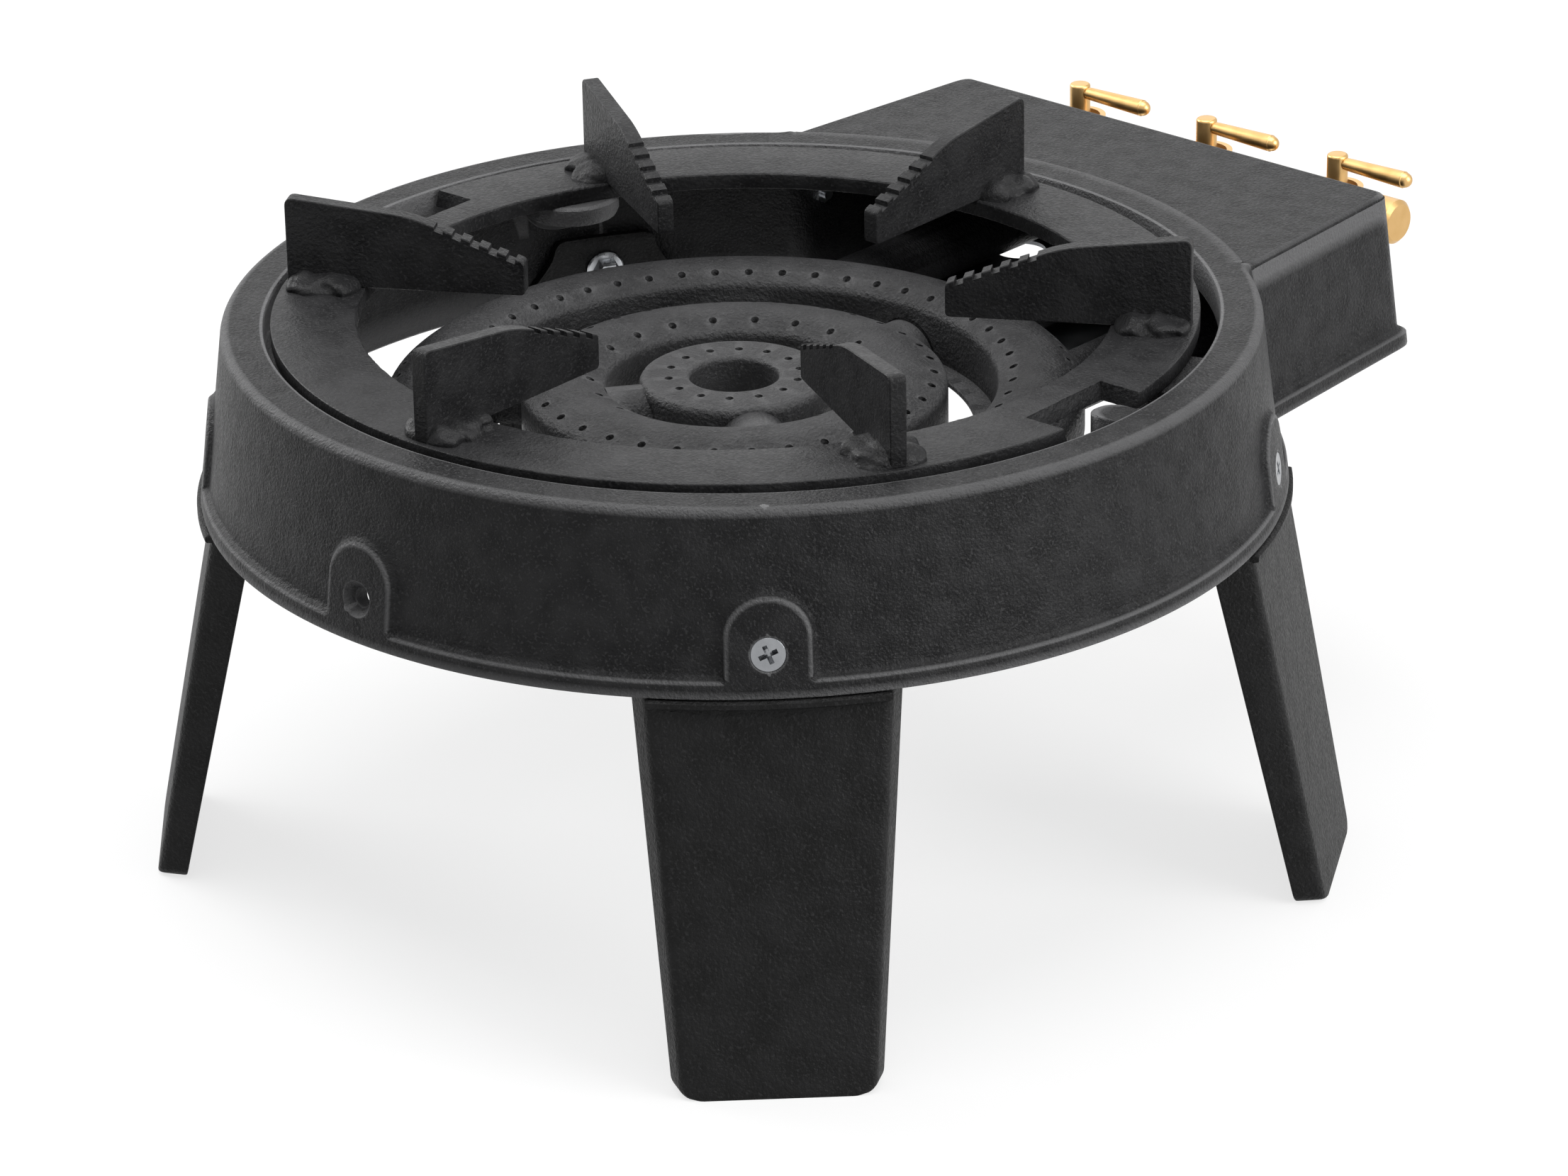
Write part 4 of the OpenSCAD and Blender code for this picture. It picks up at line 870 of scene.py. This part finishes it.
# Turned brass: warm yellow metal with a soft sheen and faint tool marks.
brass = plated("turned_brass", "#dcb780", "#c9a062", 0.3, 0.4, grain=0.5)
dress(["manifold", "hose_connector", "valve_body_left", "valve_body_centre", "valve_body_right",
       "injectors"], brass)
dress(["valve_washers"], zinc)
for place, x in (("left", -tube_pitch), ("centre", 0), ("right", tube_pitch)):
    seat = Matrix.Translation((x, valve_y, 0))
    spindle = [(plug_r, plug_floor), (plug_r, cup_floor), (spindle_r, cup_floor + 0.05)]
    for a in (0, 0.4, 0.8, 1.2, 1.57):
        spindle.append((spindle_r - 1 + math.cos(a), spindle_top - 1 + math.sin(a)))
    plug = turned(bmesh.new(), spindle, seat)
    finish_piece("valve_spindle_" + place, plug, brass, "valve_" + place,
                 ["valve_plug_" + place], crease=40)
    dome_foot = lever_reach - dome_r
    stations = [(1.9, 2), (1.95, spindle_r - 0.3), (2.3, spindle_r), (2.45, spindle_r + 1.5),
                (3.2, dome_foot - 0.6), (3.2, dome_foot - 0.3), (3.0, dome_foot - 0.05)]
    for k in range(9):
        a = math.pi / 2 * k / 8.2
        stations.append((dome_r * math.cos(a), dome_foot + dome_r * math.sin(a)))
    lie = seat @ Matrix.Translation((0, 0, lever_z)) @ Matrix.Rotation(math.pi / 2, 4, "Y")
    lever = turned(bmesh.new(), stations, lie)
    finish_piece("lever_handle_" + place, lever, brass, "valve_" + place,
                 ["valve_lever_" + place], crease=40)

# The setting: a plain floor that shows the shadow, soft lights from above, behind and both sides, and the
# camera at the height and bearing from which the burner is seen. The floor and the sky look white to the
# camera and in reflections, and give less light to the object itself.
floor_half = 6
floor_glow = 0.72
sky_light = 0.26
floor_paint, floor_surface = new_material("white_floor")
path = add_node(floor_paint, "ShaderNodeLightPath")
seen = add_node(floor_paint, "ShaderNodeMath", {"operation": "MAXIMUM"}, i0=path.outputs["Is Camera Ray"],
                i1=path.outputs["Is Transmission Ray"])
seen = add_node(floor_paint, "ShaderNodeMath", {"operation": "MAXIMUM"}, i0=seen.outputs[0],
                i1=path.outputs["Is Glossy Ray"])
share = add_node(floor_paint, "ShaderNodeMath", {"operation": "MULTIPLY"}, i0=seen.outputs[0],
                 i1=floor_glow)
shade = add_node(floor_paint, "ShaderNodeMix", {"data_type": "RGBA"}, i0=seen.outputs[0],
                 i6=linear("#929292"), i7=linear("#f4f4f4"))
paint = add_node(floor_paint, "ShaderNodeBsdfDiffuse", Color=shade.outputs[2])
glow = add_node(floor_paint, "ShaderNodeEmission", Color=linear("#ffffff"), Strength=1.0)
mixed = add_node(floor_paint, "ShaderNodeMixShader", i0=share.outputs[0], i1=paint.outputs[0],
                 i2=glow.outputs[0])
floor_paint.node_tree.links.new(mixed.outputs[0], floor_surface)
floor_data = bpy.data.meshes.new("floor")
floor_corners = [(x * floor_half, y * floor_half, 0) for x, y in ((-1, -1), (1, -1), (1, 1), (-1, 1))]
floor_data.from_pydata(floor_corners, [], [(0, 1, 2, 3)])
floor_data.materials.append(floor_paint)
floor = bpy.data.objects.new("floor", floor_data)
bpy.context.collection.objects.link(floor)

world = bpy.data.worlds.new("studio")
bpy.context.scene.world = world
world.use_nodes = True
world.node_tree.nodes.clear()
sky_path = add_node(world, "ShaderNodeLightPath")
sky_seen = add_node(world, "ShaderNodeMath", {"operation": "MAXIMUM"}, i0=sky_path.outputs["Is Camera Ray"],
                    i1=sky_path.outputs["Is Transmission Ray"])
sky_seen = add_node(world, "ShaderNodeMath", {"operation": "MAXIMUM"}, i0=sky_seen.outputs[0],
                    i1=sky_path.outputs["Is Glossy Ray"])
sky_level = add_node(world, "ShaderNodeMapRange", i0=sky_seen.outputs[0], i1=0.0, i2=1.0,
                     i3=sky_light, i4=1.0)
sky = add_node(world, "ShaderNodeBackground", Color=linear("#ffffff"), Strength=sky_level.outputs[0])
world_out = world.node_tree.nodes.new("ShaderNodeOutputWorld")
world.node_tree.links.new(sky.outputs[0], world_out.inputs["Surface"])


def soft_light(name, place, aim, size, watts):
    """Square soft box at a place, turned to what it lights."""
    data = bpy.data.lights.new(name, "AREA")
    data.size = size
    data.energy = watts
    light = bpy.data.objects.new(name, data)
    light.location = place
    light.rotation_euler = (Vector(aim) - Vector(place)).to_track_quat("-Z", "Y").to_euler()
    bpy.context.collection.objects.link(light)


middle_aim = (0, 0, 0.15)
soft_light("light_above", (-0.1, 0.0, 2.2), middle_aim, 2.0, 45)
soft_light("light_behind", (-1.7, 1.8, 1.5), middle_aim, 1.8, 6)
soft_light("light_left", (-2.1, -0.3, 1.2), middle_aim, 1.4, 32)
soft_light("light_right", (2.0, 0.5, 1.0), middle_aim, 1.4, 36)

camera_spot = from_axis @ Vector((1372.55, -1468.07, 781.27))
camera_yaw, camera_pitch, camera_roll = -0.74518, -0.4173, 0.01752
level_share = math.cos(camera_pitch)
ahead = Vector((level_share * math.sin(camera_yaw), level_share * math.cos(camera_yaw),
                math.sin(camera_pitch)))
level = ahead.cross(Vector((0, 0, 1))).normalized()
down = ahead.cross(level)
right = level * math.cos(camera_roll) + down * math.sin(camera_roll)
below = down * math.cos(camera_roll) - level * math.sin(camera_roll)
camera_data = bpy.data.cameras.new("camera")
camera_data.lens = 139.7
camera_data.sensor_width = 36
camera = bpy.data.objects.new("camera", camera_data)
camera_turn = Matrix((right, -below, -ahead)).transposed().to_4x4()
camera.matrix_world = Matrix.Translation(camera_spot) @ camera_turn
bpy.context.collection.objects.link(camera)
bpy.context.scene.camera = camera
bpy.context.scene.view_settings.view_transform = "Standard"
